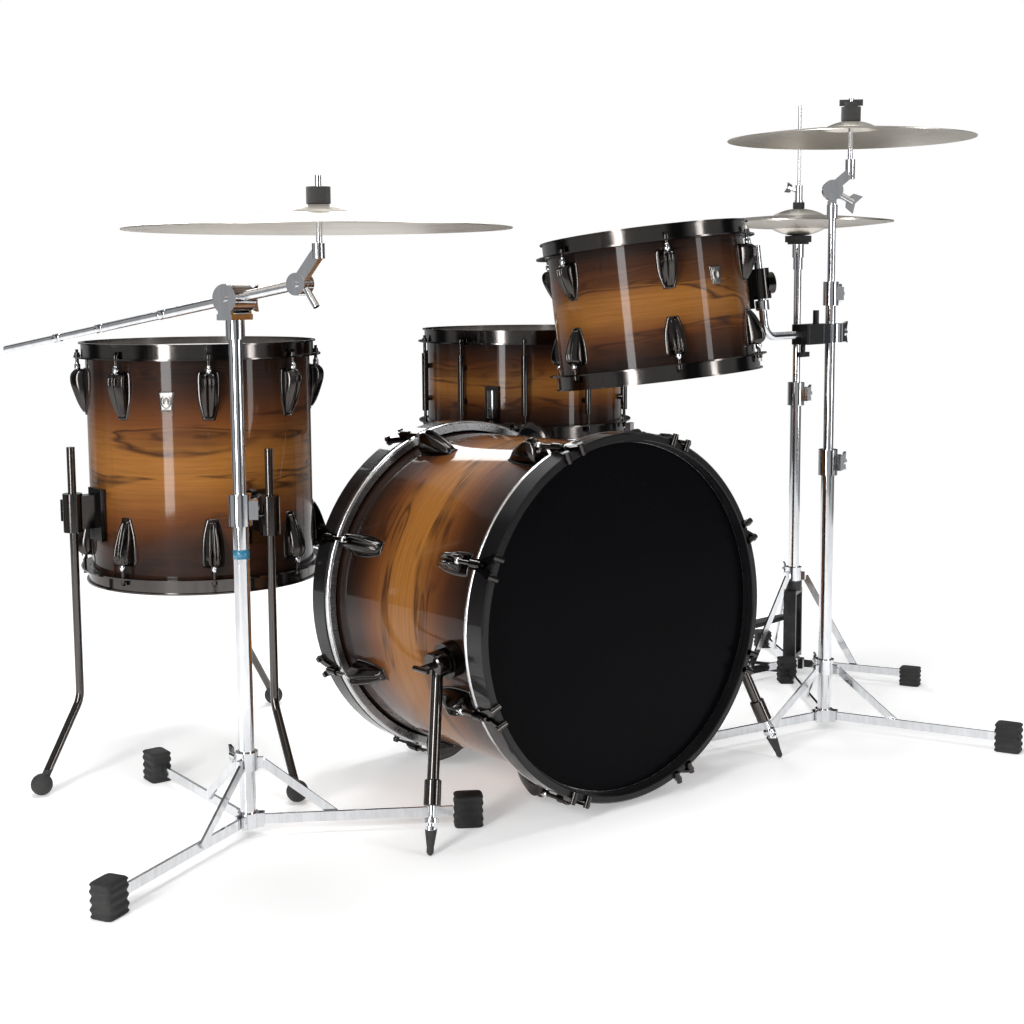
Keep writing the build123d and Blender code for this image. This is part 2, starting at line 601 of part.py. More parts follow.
def castings(tube_r, collar_z, clamp_z, slide_r, step_z):
    """A stand's hub, its leg collar, and the clamp at the top of its base tube."""
    with BuildPart() as hub:
        with Locations((0, 0, HUB_Z)):
            Cylinder(15, 22)
        with PolarLocations(16, 3):
            with Locations((0, 5.5, HUB_Z), (0, -5.5, HUB_Z)):
                Box(14, 4, 20)
        with Locations((0, 0, HUB_Z)):
            Cylinder(tube_r, 22, mode=Mode.SUBTRACT)
    with BuildPart() as collar:
        with Locations((0, 0, collar_z + COLLAR_H / 2)):
            Cylinder(16, COLLAR_H)
        with PolarLocations(17, 3):
            with Locations((0, 0, collar_z + 9)):
                Box(12, 6, 16)
        with Locations((0, 0, collar_z + COLLAR_H / 2)):
            Cylinder(tube_r, COLLAR_H, mode=Mode.SUBTRACT)
        with Locations(Location((-14, 0, collar_z + 18), (0, 0, 120))):
            add(wing(22, 4, 16))
        with Locations((0, 0, collar_z + COLLAR_H / 2)):
            Cylinder(tube_r, COLLAR_H * 2, mode=Mode.SUBTRACT)
    with BuildPart() as clamp:
        with Locations((0, 0, clamp_z + CLAMP_H / 2)):
            Cylinder(16, CLAMP_H)
        with Locations((18, 0, clamp_z + CLAMP_H / 2)):
            Box(14, 20, CLAMP_H * 0.6)
        with Locations((0, 0, clamp_z)):
            Cylinder(tube_r, 2 * (step_z - clamp_z), mode=Mode.SUBTRACT)
        with Locations((0, 0, clamp_z + CLAMP_H)):
            Cylinder(slide_r + SLIP, 2 * CLAMP_H, mode=Mode.SUBTRACT)
        with Locations(Location((20, 8, clamp_z + CLAMP_H / 2), (0, 0, 90))):
            add(wing(26, 4.5, 18))
    return [hub.part, collar.part, clamp.part]


# Each stand: place, reach of its feet, base tube, sliding tube, foot of its tube, collar, clamp, block size
BIG_BLOCK, SMALL_BLOCK = (44.0, 36.0, 46.0), (40.0, 34.0, 34.0)
HIHAT_BASE_R, HIHAT_CLAMP_Z = 10.35, 532.0
TUBE_LOW, FRAME_LOW, CLAMP_STEP = 13.0, 169.0, 24.0
stands = [
    (stand_place(BOOM_AT, BOOM_FEET_TURN), STAND_FEET_R, BASE_TUBE_R, BOOM_TUBE_R, TUBE_LOW, COLLAR_Z,
     BASE_TOP,
     BIG_BLOCK),
    (stand_place(STRAIGHT_AT, STRAIGHT_FEET_TURN), STAND_FEET_R, BASE_TUBE_R, MIDDLE_TUBE_R, TUBE_LOW,
     COLLAR_Z,
     BASE_TOP, BIG_BLOCK),
    (stand_place(HIHAT_AT, HIHAT_FEET_TURN), HIHAT_FEET_R, HIHAT_BASE_R, HIHAT_TUBE_R, FRAME_LOW,
     HIHAT_COLLAR_Z,
     HIHAT_CLAMP_Z, SMALL_BLOCK),
    (stand_place(SNARE_AT, SNARE_FEET_TURN), HIHAT_FEET_R, BASE_TUBE_R, BASKET_TUBE_R, TUBE_LOW, COLLAR_Z,
     SNARE_CLAMP_Z, SMALL_BLOCK),
]
with BuildPart() as stand_base_tubes:
    for place, _, tube_r, slide_r, low, _, clamp_z, _ in stands:
        with Locations(place):
            add(ring(tube_r, slide_r + SLIP, low, clamp_z + CLAMP_STEP))
save(stand_base_tubes, "stand_base_tubes")

with BuildPart() as stand_castings:
    for place, _, tube_r, slide_r, _, collar_z, clamp_z, _ in stands:
        with Locations(place):
            for piece in castings(tube_r, collar_z, clamp_z, slide_r, clamp_z + CLAMP_STEP):
                add(piece)
save(stand_castings, "stand_castings")

leg_pieces, strut_pieces, foot_pieces = [], [], []
for place, feet_r, _, _, _, collar_z, _, block in stands:
    for turn in (0, 120, 240):
        set_at = place * Location((0, 0, 0), (0, 0, turn))
        leg_pieces.append(leg_bar(feet_r, block[0]).moved(set_at))
        strut_pieces.append(strut_bar(collar_z).moved(set_at))
        foot_pieces.append(foot_block(feet_r, *block).moved(set_at))
save(pair(leg_pieces), "stand_legs")
save(pair(strut_pieces), "stand_struts")
save(pair(foot_pieces), "stand_feet")


# ---------------------------------------------------------------- cymbals
def cymbal_part(radius, bow, bell_r, bell):
    """A cymbal with its rim at Z = 0: a shallow bow up to the bell, and a hole at its middle."""
    top = bow + bell
    with BuildPart() as made:
        with BuildSketch(Plane.XZ):
            with BuildLine():
                ThreePointArc((radius, 0), ((radius + bell_r) / 2, bow * 0.60), (bell_r, bow))
                ThreePointArc((bell_r, bow), (bell_r * 0.62, bow + bell * 0.66), (CYMBAL_HOLE_R, top))
                Line((CYMBAL_HOLE_R, top), (CYMBAL_HOLE_R, top - CYMBAL_T))
                ThreePointArc((CYMBAL_HOLE_R, top - CYMBAL_T), (bell_r * 0.62, bow + bell * 0.66 - CYMBAL_T),
                              (bell_r, bow - CYMBAL_T))
                ThreePointArc((bell_r, bow - CYMBAL_T), ((radius + bell_r) / 2, bow * 0.60 - CYMBAL_T),
                              (radius, -CYMBAL_T))
                Line((radius, -CYMBAL_T), (radius, 0))
            make_face()
        revolve(axis=Axis.Z)
    return made


def stem_felts(bell_top, felt_h, nut):
    """Round a cymbal's stem: a felt under the bell, a sleeve through the hole, a felt above, and its nut."""
    low = bell_top - CYMBAL_T - 1.4
    with BuildPart() as made:
        add(ring(16, STEM_R, low - 8, low))
        add(ring(CYMBAL_HOLE_R - 0.4, STEM_R, low, bell_top + 0.3))
        add(ring(16, STEM_R, bell_top + 0.3, bell_top + felt_h))
        if nut:
            add(ring(11, STEM_R, bell_top + felt_h, bell_top + felt_h + 8))
            with Locations((0, 0, bell_top + felt_h + 7)):
                Box(38, 6, 10)
            with Locations((0, 0, bell_top + felt_h + 7)):
                Cylinder(STEM_R, 14, mode=Mode.SUBTRACT)
    return made


# ---------------------------------------------------------------- boom stand
# Drawn with its boom along +X, then turned to where it points.
boom_place = stand_place(BOOM_AT, BOOM_TURN)
rise = radians(BOOM_RISE)
boom_way = Vector(cos(rise), 0, sin(rise))
pivot = Vector(0, 0, PIVOT_Z)
tip = pivot + boom_way * (BOOM_REACH / cos(rise))
BOOM_R, HEAD_R, HEAD_HALF, PIN_R = 7.0, 20.0, 16.0, 4.0

with BuildPart() as boom_upper_tube:
    with Locations((0, 0, 508)):
        Cylinder(BOOM_TUBE_R, 400)
    with Locations((0, 0, 715)):
        Cylinder(13, 32)
    with Locations((0, 0, PIVOT_Z - HEAD_R - 4.8)):
        Box(26, 46, 8)
    for side in (-1, 1):
        with Locations(Location((0, side * (HEAD_HALF + 3.6), PIVOT_Z), (90, 0, 0))):
            Cylinder(HEAD_R, 6)
            Cylinder(PIN_R + SLIP, 8, mode=Mode.SUBTRACT)
        with Locations((0, side * (HEAD_HALF + 3.6), PIVOT_Z - HEAD_R)):
            Box(22, 6, 18)
save(boom_upper_tube, "boom_upper_tube", boom_place)

with BuildPart() as boom_tilter:
    with Locations(Location(pivot, (90, 0, 0))):
        Cylinder(HEAD_R, 2 * HEAD_HALF)
        Cylinder(PIN_R, 2 * HEAD_HALF + 20)
    with Locations(Location(pivot + Vector(0, HEAD_HALF + 10, 0), (0, 0, 90))):
        add(wing(30, 5, 18))
    add(rod_between(pivot - boom_way * 40, pivot + boom_way * 40, BOOM_R + SLIP), mode=Mode.SUBTRACT)
save(boom_tilter, "boom_tilter", boom_place)

with BuildPart() as boom_arm:
    add(rod_between(pivot - boom_way * 120, tip - boom_way * 17, BOOM_R))
    add(bar_between(tip - boom_way * 26 + Vector(0, 6, 0), tip + Vector(0, 6, 0), 12, 10))
    add(rod_between(pivot - boom_way * 240, pivot - boom_way * 120, BOOM_R - 1))
    add(rod_between(pivot - boom_way * BOOM_TAIL, pivot - boom_way * 240, BOOM_R - 2, 0.8))
    with Locations(Location(tip + Vector(0, 6.5, 0), (90, 0, 0))):
        Cylinder(15, 11)
    with Locations(Location(tip + Vector(0, 3, 0), (90, 0, 0))):
        Cylinder(PIN_R, 34)
save(boom_arm, "boom_arm", boom_place)

with BuildPart() as boom_cymbal_tilter:
    with Locations(Location(tip + Vector(0, -5.1, 0), (90, 0, 0))):
        Cylinder(15, 11)
    add(bar_between(tip + Vector(0, -5.1, 0), (BOOM_STEM_X, -5.1, 812), 16, 10))
    with Locations((BOOM_STEM_X, -2.5, 816)):
        Cylinder(8.5, 20)
    with Locations((BOOM_STEM_X, 0, 864)):
        Cylinder(STEM_R, 100)
    add(rod_between(tip + Vector(14, -5.1, -6), tip + Vector(30, -5.1, -30), 4.5))
    with Locations(Location(tip + Vector(0, -4, 0), (90, 0, 0))):
        Cylinder(PIN_R + SLIP, 20, mode=Mode.SUBTRACT)
save(boom_cymbal_tilter, "boom_cymbal_tilter", boom_place)

boom_cymbal = cymbal_part(*BOOM_CYMBAL)
stem_at = Location((BOOM_STEM_X, 0, BOOM_RIM_Z))
save(boom_cymbal, "boom_cymbal", boom_place * stem_at)
save(stem_felts(BOOM_CYMBAL[1] + BOOM_CYMBAL[3], 22, False), "boom_felts", boom_place * stem_at)

# ---------------------------------------------------------------- straight stand
# Drawn with its cymbal stem on the +X side, then turned.
straight_place = stand_place(STRAIGHT_AT, STRAIGHT_TURN)
with BuildPart() as straight_middle_tube:
    add(ring(MIDDLE_TUBE_R, TOP_TUBE_R + SLIP, 320, MIDDLE_TOP))
    with Locations((0, 0, MIDDLE_TOP + 8)):
        Cylinder(13, 40)
        Cylinder(TOP_TUBE_R + SLIP, 60, mode=Mode.SUBTRACT)
    with Locations((15, 0, MIDDLE_TOP + 8)):
        Box(12, 16, 22)
    with Locations(Location((18, 7, MIDDLE_TOP + 8), (0, 0, 90))):
        add(wing(26, 4.5, 16))
    with Locations((0, 0, MIDDLE_TOP + 8)):
        Cylinder(TOP_TUBE_R + SLIP, 60, mode=Mode.SUBTRACT)
save(straight_middle_tube, "straight_middle_tube", straight_place)

with BuildPart() as straight_upper_tube:
    with Locations((0, 0, 750)):
        Cylinder(TOP_TUBE_R, 300)
    with Locations((0, 0, 887)):
        Cylinder(9, 22)
    with Locations(Location((0, 6.3, STRAIGHT_PIVOT_Z), (90, 0, 0))):
        Cylinder(17, 11)
    with Locations((0, 6, 902)):
        Box(14, 10, 18)
    with Locations(Location((0, 3, STRAIGHT_PIVOT_Z), (90, 0, 0))):
        Cylinder(PIN_R, 34)
save(straight_upper_tube, "straight_upper_tube", straight_place)

with BuildPart() as straight_tilter:
    with Locations(Location((0, -5.1, STRAIGHT_PIVOT_Z), (90, 0, 0))):
        Cylinder(17, 11)
    add(bar_between((0, -5.1, STRAIGHT_PIVOT_Z + 4), (STRAIGHT_STEM_X, -5.1, 950), 16, 10))
    with Locations((STRAIGHT_STEM_X, -2.5, 956)):
        Cylinder(8, 32)
    with Locations((STRAIGHT_STEM_X, 0, 1020)):
        Cylinder(STEM_R, 104)
    with Locations(Location((11, -5.1, STRAIGHT_PIVOT_Z - 8), (0, 30, 0))):
        add(wing(26, 6, 26))
    with Locations(Location((0, -4, STRAIGHT_PIVOT_Z), (90, 0, 0))):
        Cylinder(PIN_R + SLIP, 20, mode=Mode.SUBTRACT)
save(straight_tilter, "straight_tilter", straight_place)

straight_cymbal = cymbal_part(*STRAIGHT_CYMBAL)
stem_at = Location((STRAIGHT_STEM_X, 0, STRAIGHT_RIM_Z))
save(straight_cymbal, "straight_cymbal", straight_place * stem_at)
save(stem_felts(STRAIGHT_CYMBAL[1] + STRAIGHT_CYMBAL[3], 23, True), "straight_felts",
     straight_place * stem_at)

# ---------------------------------------------------------------- hi-hat
# Drawn with its pedal along +X, then turned.
PEDAL_TURN, PEDAL_R, HEEL_X, TOE_X, TOE_Z, HEEL_Z = 117.0, 3.0, 286.0, 16.0, 112.0, 24.0
PULL_LOW, ROD_TOP, FRAME_TOP = 120.0, 1102.0, 186.0
hihat_place = stand_place(HIHAT_AT, PEDAL_TURN)
hat_top = HIHAT_CYMBAL[1] + HIHAT_CYMBAL[3]
lower_rim = HIHAT_RIM_Z - 0.5
seat_top = lower_rim - CYMBAL_T - hat_top - 0.3
with BuildPart() as hihat_upper_tube:
    add(ring(HIHAT_TUBE_R, 4.2, 430, 800))
    add(ring(9, 4.2, 793, 816))
    add(ring(11, 4.2, 816, seat_top - 16))
    add(ring(20, 4.2, seat_top - 16, seat_top - 12))
    add(ring(25, 4.2, seat_top - 12, seat_top))
save(hihat_upper_tube, "hihat_upper_tube", hihat_place)

upper_hat = cymbal_part(*HIHAT_CYMBAL)
save(upper_hat, "hihat_top_cymbal", hihat_place * Location((0, 0, HIHAT_RIM_Z + CYMBAL_T)))
save(upper_hat, "hihat_bottom_cymbal", hihat_place * Location((0, 0, lower_rim - CYMBAL_T), (180, 0, 0)))

clutch_low = HIHAT_RIM_Z + CYMBAL_T + hat_top + 0.3
with BuildPart() as hihat_pull_rod:
    with Locations((0, 0, (PULL_LOW + ROD_TOP) / 2)):
        Cylinder(PEDAL_R, ROD_TOP - PULL_LOW)
    add(ring(11, PEDAL_R, clutch_low, clutch_low + 12))
    add(ring(8, PEDAL_R, clutch_low + 12, clutch_low + 16))
    add(ring(7, PEDAL_R, clutch_low + 16, clutch_low + 44))
    add(ring(10, PEDAL_R, clutch_low - CYMBAL_T - 9.4, clutch_low - CYMBAL_T - 1.4))
    with Locations(Location((5, 0, clutch_low + 34), (0, -20, 0))):
        add(wing(16, 4, 16))
    with Locations((0, 0, PULL_LOW + 14)):
        Cylinder(5.5, 28)
    with Locations((TOE_X / 2, 0, PULL_LOW + 3)):
        Box(TOE_X + 6, 10, 10)
save(hihat_pull_rod, "hihat_pull_rod", hihat_place)

with BuildPart() as hihat_frame:
    for side in (-23, 23):
        with Locations((0, side, 101)):
            Box(24, 6, 136)
        add(rod_between((0, side, 8), (0, side, 40), 3.2))
        add(rod_between((-3, side, 8), (HEEL_X + 4, side, 8), 3.2))
    with Locations((0, 0, 39), (0, 0, 165)):
        Box(24, 52, 8)
    with Locations((0, 0, FRAME_TOP - 9)):
        Cylinder(17, 18)
    with Locations((0, 0, FRAME_TOP - 20)):
        Cylinder(HIHAT_BASE_R, 60, mode=Mode.SUBTRACT)
    with Locations((HEEL_X + 26, 0, 6)):
        Box(52, 76, 12)
    for side in (-40.2, 40.2):
        with Locations((HEEL_X, side, 17)):
            Box(16, 6, 34)
            with Locations(Location((0, 0, HEEL_Z - 17), (90, 0, 0))):
                Cylinder(PEDAL_R + SLIP, 8, mode=Mode.SUBTRACT)
save(hihat_frame, "hihat_frame", hihat_place)

board_way = (Vector(TOE_X, 0, TOE_Z) - Vector(HEEL_X, 0, HEEL_Z)).normalized()
board_l = (Vector(TOE_X, 0, TOE_Z) - Vector(HEEL_X, 0, HEEL_Z)).length
with BuildPart() as hihat_footboard:
    with BuildSketch(Plane(origin=(HEEL_X, 0, HEEL_Z), x_dir=board_way,
                           z_dir=(-board_way.Z, 0, board_way.X))):
        with BuildLine():
            Polyline((-6, 34), (board_l * 0.45, 40), (board_l * 0.86, 34), (board_l, 15), (board_l, -15),
                     (board_l * 0.86, -34), (board_l * 0.45, -40), (-6, -34), close=True)
        make_face()
    extrude(amount=4, both=True)
    with Locations(Location((HEEL_X, 0, HEEL_Z), (90, 0, 0))):
        Cylinder(6, 72)
        Cylinder(PEDAL_R, 90)
save(hihat_footboard, "hihat_footboard", hihat_place)
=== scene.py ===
import json
from math import asin, cos, pi, radians, sin

import bmesh
import bpy
from mathutils import Euler, Matrix, Vector


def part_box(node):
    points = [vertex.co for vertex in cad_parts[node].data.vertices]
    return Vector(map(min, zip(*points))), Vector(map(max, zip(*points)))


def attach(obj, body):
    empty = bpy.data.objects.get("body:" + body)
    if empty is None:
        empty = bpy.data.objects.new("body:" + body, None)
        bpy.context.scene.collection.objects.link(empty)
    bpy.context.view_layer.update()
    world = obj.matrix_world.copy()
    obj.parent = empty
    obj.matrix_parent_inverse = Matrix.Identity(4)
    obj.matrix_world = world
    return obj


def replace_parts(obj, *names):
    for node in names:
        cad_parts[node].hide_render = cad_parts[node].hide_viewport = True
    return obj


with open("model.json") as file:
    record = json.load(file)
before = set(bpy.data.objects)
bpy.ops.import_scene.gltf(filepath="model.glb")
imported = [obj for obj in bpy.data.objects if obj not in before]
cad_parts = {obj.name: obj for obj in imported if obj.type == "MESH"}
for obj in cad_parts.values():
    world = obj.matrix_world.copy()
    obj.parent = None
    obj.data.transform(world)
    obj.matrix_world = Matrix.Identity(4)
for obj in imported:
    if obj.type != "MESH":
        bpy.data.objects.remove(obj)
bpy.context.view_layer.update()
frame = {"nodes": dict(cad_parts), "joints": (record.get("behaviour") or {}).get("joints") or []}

# An acoustic drum kit: sunburst veneer drums with smoked-nickel hardware, and flat-based chrome stands.
# Metres. +Z is up, the bass drum's front head faces -Y, and the floor is Z = 0.

# Camera: where it stands, the way it looks, its lens and the shift of its frame
CAMERA_AT = Vector((-1.6282, -1.9888, 0.7746))
CAMERA_YAW, CAMERA_DOWN, CAMERA_ROLL = radians(38.05), radians(6.71), radians(-0.43)
CAMERA_LENS, CAMERA_SHIFT_X, CAMERA_SHIFT_Y = 55.45, 0.011, -0.044

# Flanged metal hoops and how far out the tension rods stand from a shell
RIM_UP, ROD_OUT = 0.013, 0.012

# Bass drum: outer radius of its lacquered hoops, lift of its front, its length over the hoops
BASS_R, BASS_LENGTH, BASS_LIFT = 0.254, 0.4424, 0.010
BASS_ROD_OUT, BASS_LUG_START, HOOP_DEPTH = 0.279, 0.074, 0.038


# ---------------------------------------------------------------- places

def joint(name):
    """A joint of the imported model, by its name."""
    return next(j for j in frame["joints"] if j["name"] == name)


def middle(node):
    low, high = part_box(node)
    return (low + high) / 2


def upright(origin, axis=(0, 0, 1)):
    z = Vector(axis).normalized()
    x = Vector((z.z, 0, -z.x)).normalized()
    turn = Matrix((x, z.cross(x), z)).transposed()
    return Matrix.Translation(origin) @ turn.to_4x4()


def drum_place(shell, depth, axis=(0, 0, 1)):
    """A drum's own frame: origin at the middle of its upper rim, Z up its axis."""
    z = Vector(axis).normalized()
    return upright(middle(shell) + z * (depth / 2 + RIM_UP), z)


# Wooden shells: outer radius and depth
FLOOR_R, FLOOR_DEPTH = 0.1778, 0.3556
TOM_R, TOM_DEPTH = 0.1524, 0.2032
SNARE_DEPTH = 0.1651
floor_tom = drum_place("floor_shell", FLOOR_DEPTH)
rack_tom = drum_place("tom_shell", TOM_DEPTH, joint("tom_swivel")["axis"])
snare = drum_place("snare_shell", SNARE_DEPTH)
bass_tilt = asin(BASS_LIFT / BASS_LENGTH)
bass_axis = Vector((0, cos(bass_tilt), -sin(bass_tilt)))
bass_turn = Matrix((Vector((1, 0, 0)), bass_axis.cross(Vector((1, 0, 0))), bass_axis)).transposed()
bass_drum = Matrix.Translation(middle("bass_shell") - bass_axis * BASS_LENGTH / 2) @ bass_turn.to_4x4()


# ---------------------------------------------------------------- material building

class Finish:
    """A node material under construction: a Principled shader and a way to chain nodes to it."""

    def __init__(self, name, colour, metallic=0.0, roughness=0.5, **sockets):
        self.material = bpy.data.materials.new(name)
        self.material.use_nodes = True
        self.nodes = self.material.node_tree.nodes
        self.links = self.material.node_tree.links
        self.shader = self.nodes["Principled BSDF"]
        self.shader.inputs["Base Color"].default_value = (*colour, 1)
        self.shader.inputs["Metallic"].default_value = metallic
        self.shader.inputs["Roughness"].default_value = roughness
        for socket, value in sockets.items():
            self.shader.inputs[socket.replace("_", " ")].default_value = value
        self.coordinates = self.add("ShaderNodeTexCoord").outputs["Object"]

    def add(self, kind, **settings):
        node = self.nodes.new(kind)
        for name, value in settings.items():
            setattr(node, name, value)
        return node

    def feed(self, socket, value):
        if isinstance(value, bpy.types.NodeSocket):
            self.links.new(value, socket)
        else:
            socket.default_value = value

    def placed(self, place=None, scale=(1, 1, 1)):
        """Object coordinates turned into a piece's own frame, then stretched."""
        vector = self.coordinates
        if place is not None:
            mapping = self.add("ShaderNodeMapping", vector_type="TEXTURE")
            mapping.inputs["Location"].default_value = place.to_translation()
            mapping.inputs["Rotation"].default_value = place.to_euler()
            self.links.new(vector, mapping.inputs["Vector"])
            vector = mapping.outputs["Vector"]
        return self.stretched(vector, scale)

    def stretched(self, vector, scale):
        node = self.add("ShaderNodeVectorMath", operation="MULTIPLY")
        self.links.new(vector, node.inputs[0])
        node.inputs[1].default_value = scale
        return node.outputs[0]

    def length(self, vector):
        node = self.add("ShaderNodeVectorMath", operation="LENGTH")
        self.links.new(vector, node.inputs[0])
        return node.outputs["Value"]

    def noise(self, vector, scale, detail=4.0, rough=0.55, distortion=0.0):
        node = self.add("ShaderNodeTexNoise")
        self.links.new(vector, node.inputs["Vector"])
        node.inputs["Scale"].default_value = scale
        node.inputs["Detail"].default_value = detail
        node.inputs["Roughness"].default_value = rough
        node.inputs["Distortion"].default_value = distortion
        return node.outputs["Fac"]

    def math(self, operation, first, second=0.0):
        node = self.add("ShaderNodeMath", operation=operation)
        self.feed(node.inputs[0], first)
        self.feed(node.inputs[1], second)
        return node.outputs[0]

    def ranged(self, value, low, high, to_low=0.0, to_high=1.0):
        node = self.add("ShaderNodeMapRange", clamp=True)
        for socket, number in zip(node.inputs, (value, low, high, to_low, to_high)):
            self.feed(socket, number)
        return node.outputs[0]

    def ramp(self, value, stops):
        node = self.add("ShaderNodeValToRGB")
        self.links.new(value, node.inputs["Fac"])
        points = node.color_ramp.elements
        while len(points) < len(stops):
            points.new(0.5)
        for point, (at, colour) in zip(points, stops):
            point.position = at
            point.color = (*colour, 1)
        return node.outputs["Color"]

    def mix(self, share, first, second):
        node = self.add("ShaderNodeMix", data_type="RGBA")
        self.feed(node.inputs[0], share)
        for socket, value in ((node.inputs[6], first), (node.inputs[7], second)):
            self.feed(socket, value if isinstance(value, bpy.types.NodeSocket) else (*value, 1))
        return node.outputs[2]

    def height(self, vector):
        node = self.add("ShaderNodeSeparateXYZ")
        self.links.new(vector, node.inputs[0])
        return node.outputs["Z"]

    def colour(self, value):
        self.links.new(value, self.shader.inputs["Base Color"])

    def roughness(self, value):
        self.links.new(value, self.shader.inputs["Roughness"])

    def metallic(self, value):
        self.links.new(value, self.shader.inputs["Metallic"])

    def bump(self, height, distance, strength=1.0):
        node = self.add("ShaderNodeBump")
        node.inputs["Strength"].default_value = strength
        node.inputs["Distance"].default_value = distance
        self.links.new(height, node.inputs["Height"])
        self.links.new(node.outputs[0], self.shader.inputs["Normal"])


# ---------------------------------------------------------------- finishes

# Sunburst colours from the middle of a shell to its ends, and the colours of its fine grain and its figure
AMBER, BROWN = (0.305, 0.122, 0.024), (0.135, 0.043, 0.010)
UMBER, BURNT = (0.036, 0.012, 0.005), (0.004, 0.003, 0.003)
GRAIN_BROWN, FIGURE_BROWN = (0.055, 0.018, 0.006), (0.030, 0.010, 0.004)

# How much finer the veneer's figure and its fine grain are along the shell than round it
FIGURE_STRETCH, GRAIN_STRETCH = (3.0, 3.0, 21.0), (9.0, 9.0, 260.0)

# Half the width of the soft edge between two coatings, and between plate and felt
COAT_EDGE, FELT_EDGE = 0.0004, 0.0002
FELT_DARK, FELT_PALE = (0.008, 0.008, 0.008), (0.045, 0.044, 0.042)
PITTED_RUBBER = (0.035, 0.034, 0.033)


def sunburst_veneer(name, place, centre, half, seed):
    """Figured veneer, amber at the shell's middle and burnt at both ends, under clear lacquer."""
    look = Finish(name, AMBER, roughness=0.5, Specular_IOR_Level=0.08, Coat_Weight=1.0, Coat_Roughness=0.05,
                  Coat_IOR=1.24)
    local = look.placed(place)
    along = look.height(local)
    wander = look.ranged(look.noise(local, 7.0, 2.0), 0.3, 0.7, -0.05, 0.05)
    from_centre = look.math("ABSOLUTE", look.math("SUBTRACT", along, centre))
    reach = look.math("ADD", look.math("DIVIDE", from_centre, half), wander)
    burst = look.ramp(reach, ((0.0, AMBER), (0.12, AMBER), (0.40, BROWN), (0.62, UMBER), (0.80, BURNT)))
    shifted = look.add("ShaderNodeVectorMath", operation="ADD")
    look.links.new(local, shifted.inputs[0])
    shifted.inputs[1].default_value = (seed, seed * 2, seed * 0.7)
    wood = shifted.outputs[0]
    figure = look.noise(look.stretched(wood, FIGURE_STRETCH), 1.0, 2.5, 0.5, 0.35)
    line = look.ranged(look.math("ABSOLUTE", look.math("SUBTRACT", figure, 0.55)), 0.0, 0.034, 1.0, 0.0)
    second = look.ranged(look.math("ABSOLUTE", look.math("SUBTRACT", figure, 0.62)), 0.0, 0.026, 0.9, 0.0)
    fill = look.ranged(figure, 0.55, 0.66, 0.0, 0.62)
    grain = look.noise(look.stretched(wood, GRAIN_STRETCH), 1.0, 6.0, 0.7, 0.2)
    broken = look.ranged(look.noise(wood, 12.0, 2.0), 0.32, 0.52, 0.25, 1.0)
    dark = look.math("MAXIMUM", look.math("MULTIPLY", look.math("MAXIMUM", line, second), broken), fill)
    toned = look.mix(look.ranged(grain, 0.30, 0.72, 0.0, 0.42), burst, GRAIN_BROWN)
    look.colour(look.mix(look.math("MULTIPLY", dark, 0.92), toned, FIGURE_BROWN))
    look.roughness(look.ranged(grain, 0.3, 0.7, 0.42, 0.58))
    return look.material


def plated(name, colour, roughness, ripple=0.02):
    """Polished plate with faint wipe marks and a slow ripple in its surface."""
    look = Finish(name, colour, metallic=1.0, roughness=roughness)
    local = look.placed()
    wipes = look.noise(look.placed(scale=(40, 40, 8)), 3.0, 5.0)
    tint = tuple(c * 0.86 for c in colour)
    look.colour(look.mix(look.ranged(wipes, 0.35, 0.7), colour, tint))
    look.roughness(look.ranged(wipes, 0.3, 0.75, roughness, roughness + 0.07))
    look.bump(look.noise(local, 60.0, 2.0), 0.001, ripple)
    return look.material


def dipped(name, colour, roughness, below, rubber_colour):
    """A plated piece whose lower end, below a height, is covered in rubber."""
    look = Finish(name, colour, metallic=1.0, roughness=roughness)
    local = look.placed()
    bare = look.ranged(look.height(local), below - COAT_EDGE, below + COAT_EDGE)
    pits = look.noise(local, 900.0, 3.0)
    look.colour(look.mix(bare, look.mix(look.ranged(pits, 0.3, 0.7), rubber_colour, PITTED_RUBBER), colour))
    look.roughness(look.ranged(bare, 0.0, 1.0, 0.75, roughness))
    look.metallic(bare)
    look.bump(look.math("MULTIPLY", pits, look.math("SUBTRACT", 1.0, bare)), 0.0008, 0.5)
    return look.material


def felted(name, colour, roughness, low, high):
    """A plated piece with a band of black felt between two heights."""
    look = Finish(name, colour, metallic=1.0, roughness=roughness)
    local = look.placed()
    height = look.height(local)
    above = look.ranged(height, low - FELT_EDGE, low + FELT_EDGE)
    below = look.ranged(height, high + FELT_EDGE, high - FELT_EDGE)
    inside = look.math("MULTIPLY", above, below)
    fibres = look.noise(local, 1500.0, 4.0)
    look.colour(look.mix(inside, colour, look.mix(look.ranged(fibres, 0.3, 0.7), FELT_DARK, FELT_PALE)))
    look.metallic(look.math("SUBTRACT", 1.0, inside))
    look.roughness(look.ranged(inside, 0.0, 1.0, roughness, 0.95))
    look.bump(look.math("MULTIPLY", fibres, inside), 0.0015, 0.6)
    return look.material


def felt(name):
    look = Finish(name, (0.02, 0.02, 0.02), roughness=0.97, Sheen_Weight=0.3, Sheen_Roughness=0.6)
    local = look.placed()
    fibres = look.noise(local, 1500.0, 5.0, 0.7, 0.6)
    look.colour(look.ramp(fibres, ((0.3, (0.006, 0.006, 0.006)), (0.7, (0.050, 0.049, 0.047)))))
    look.bump(fibres, 0.002, 0.7)
    return look.material


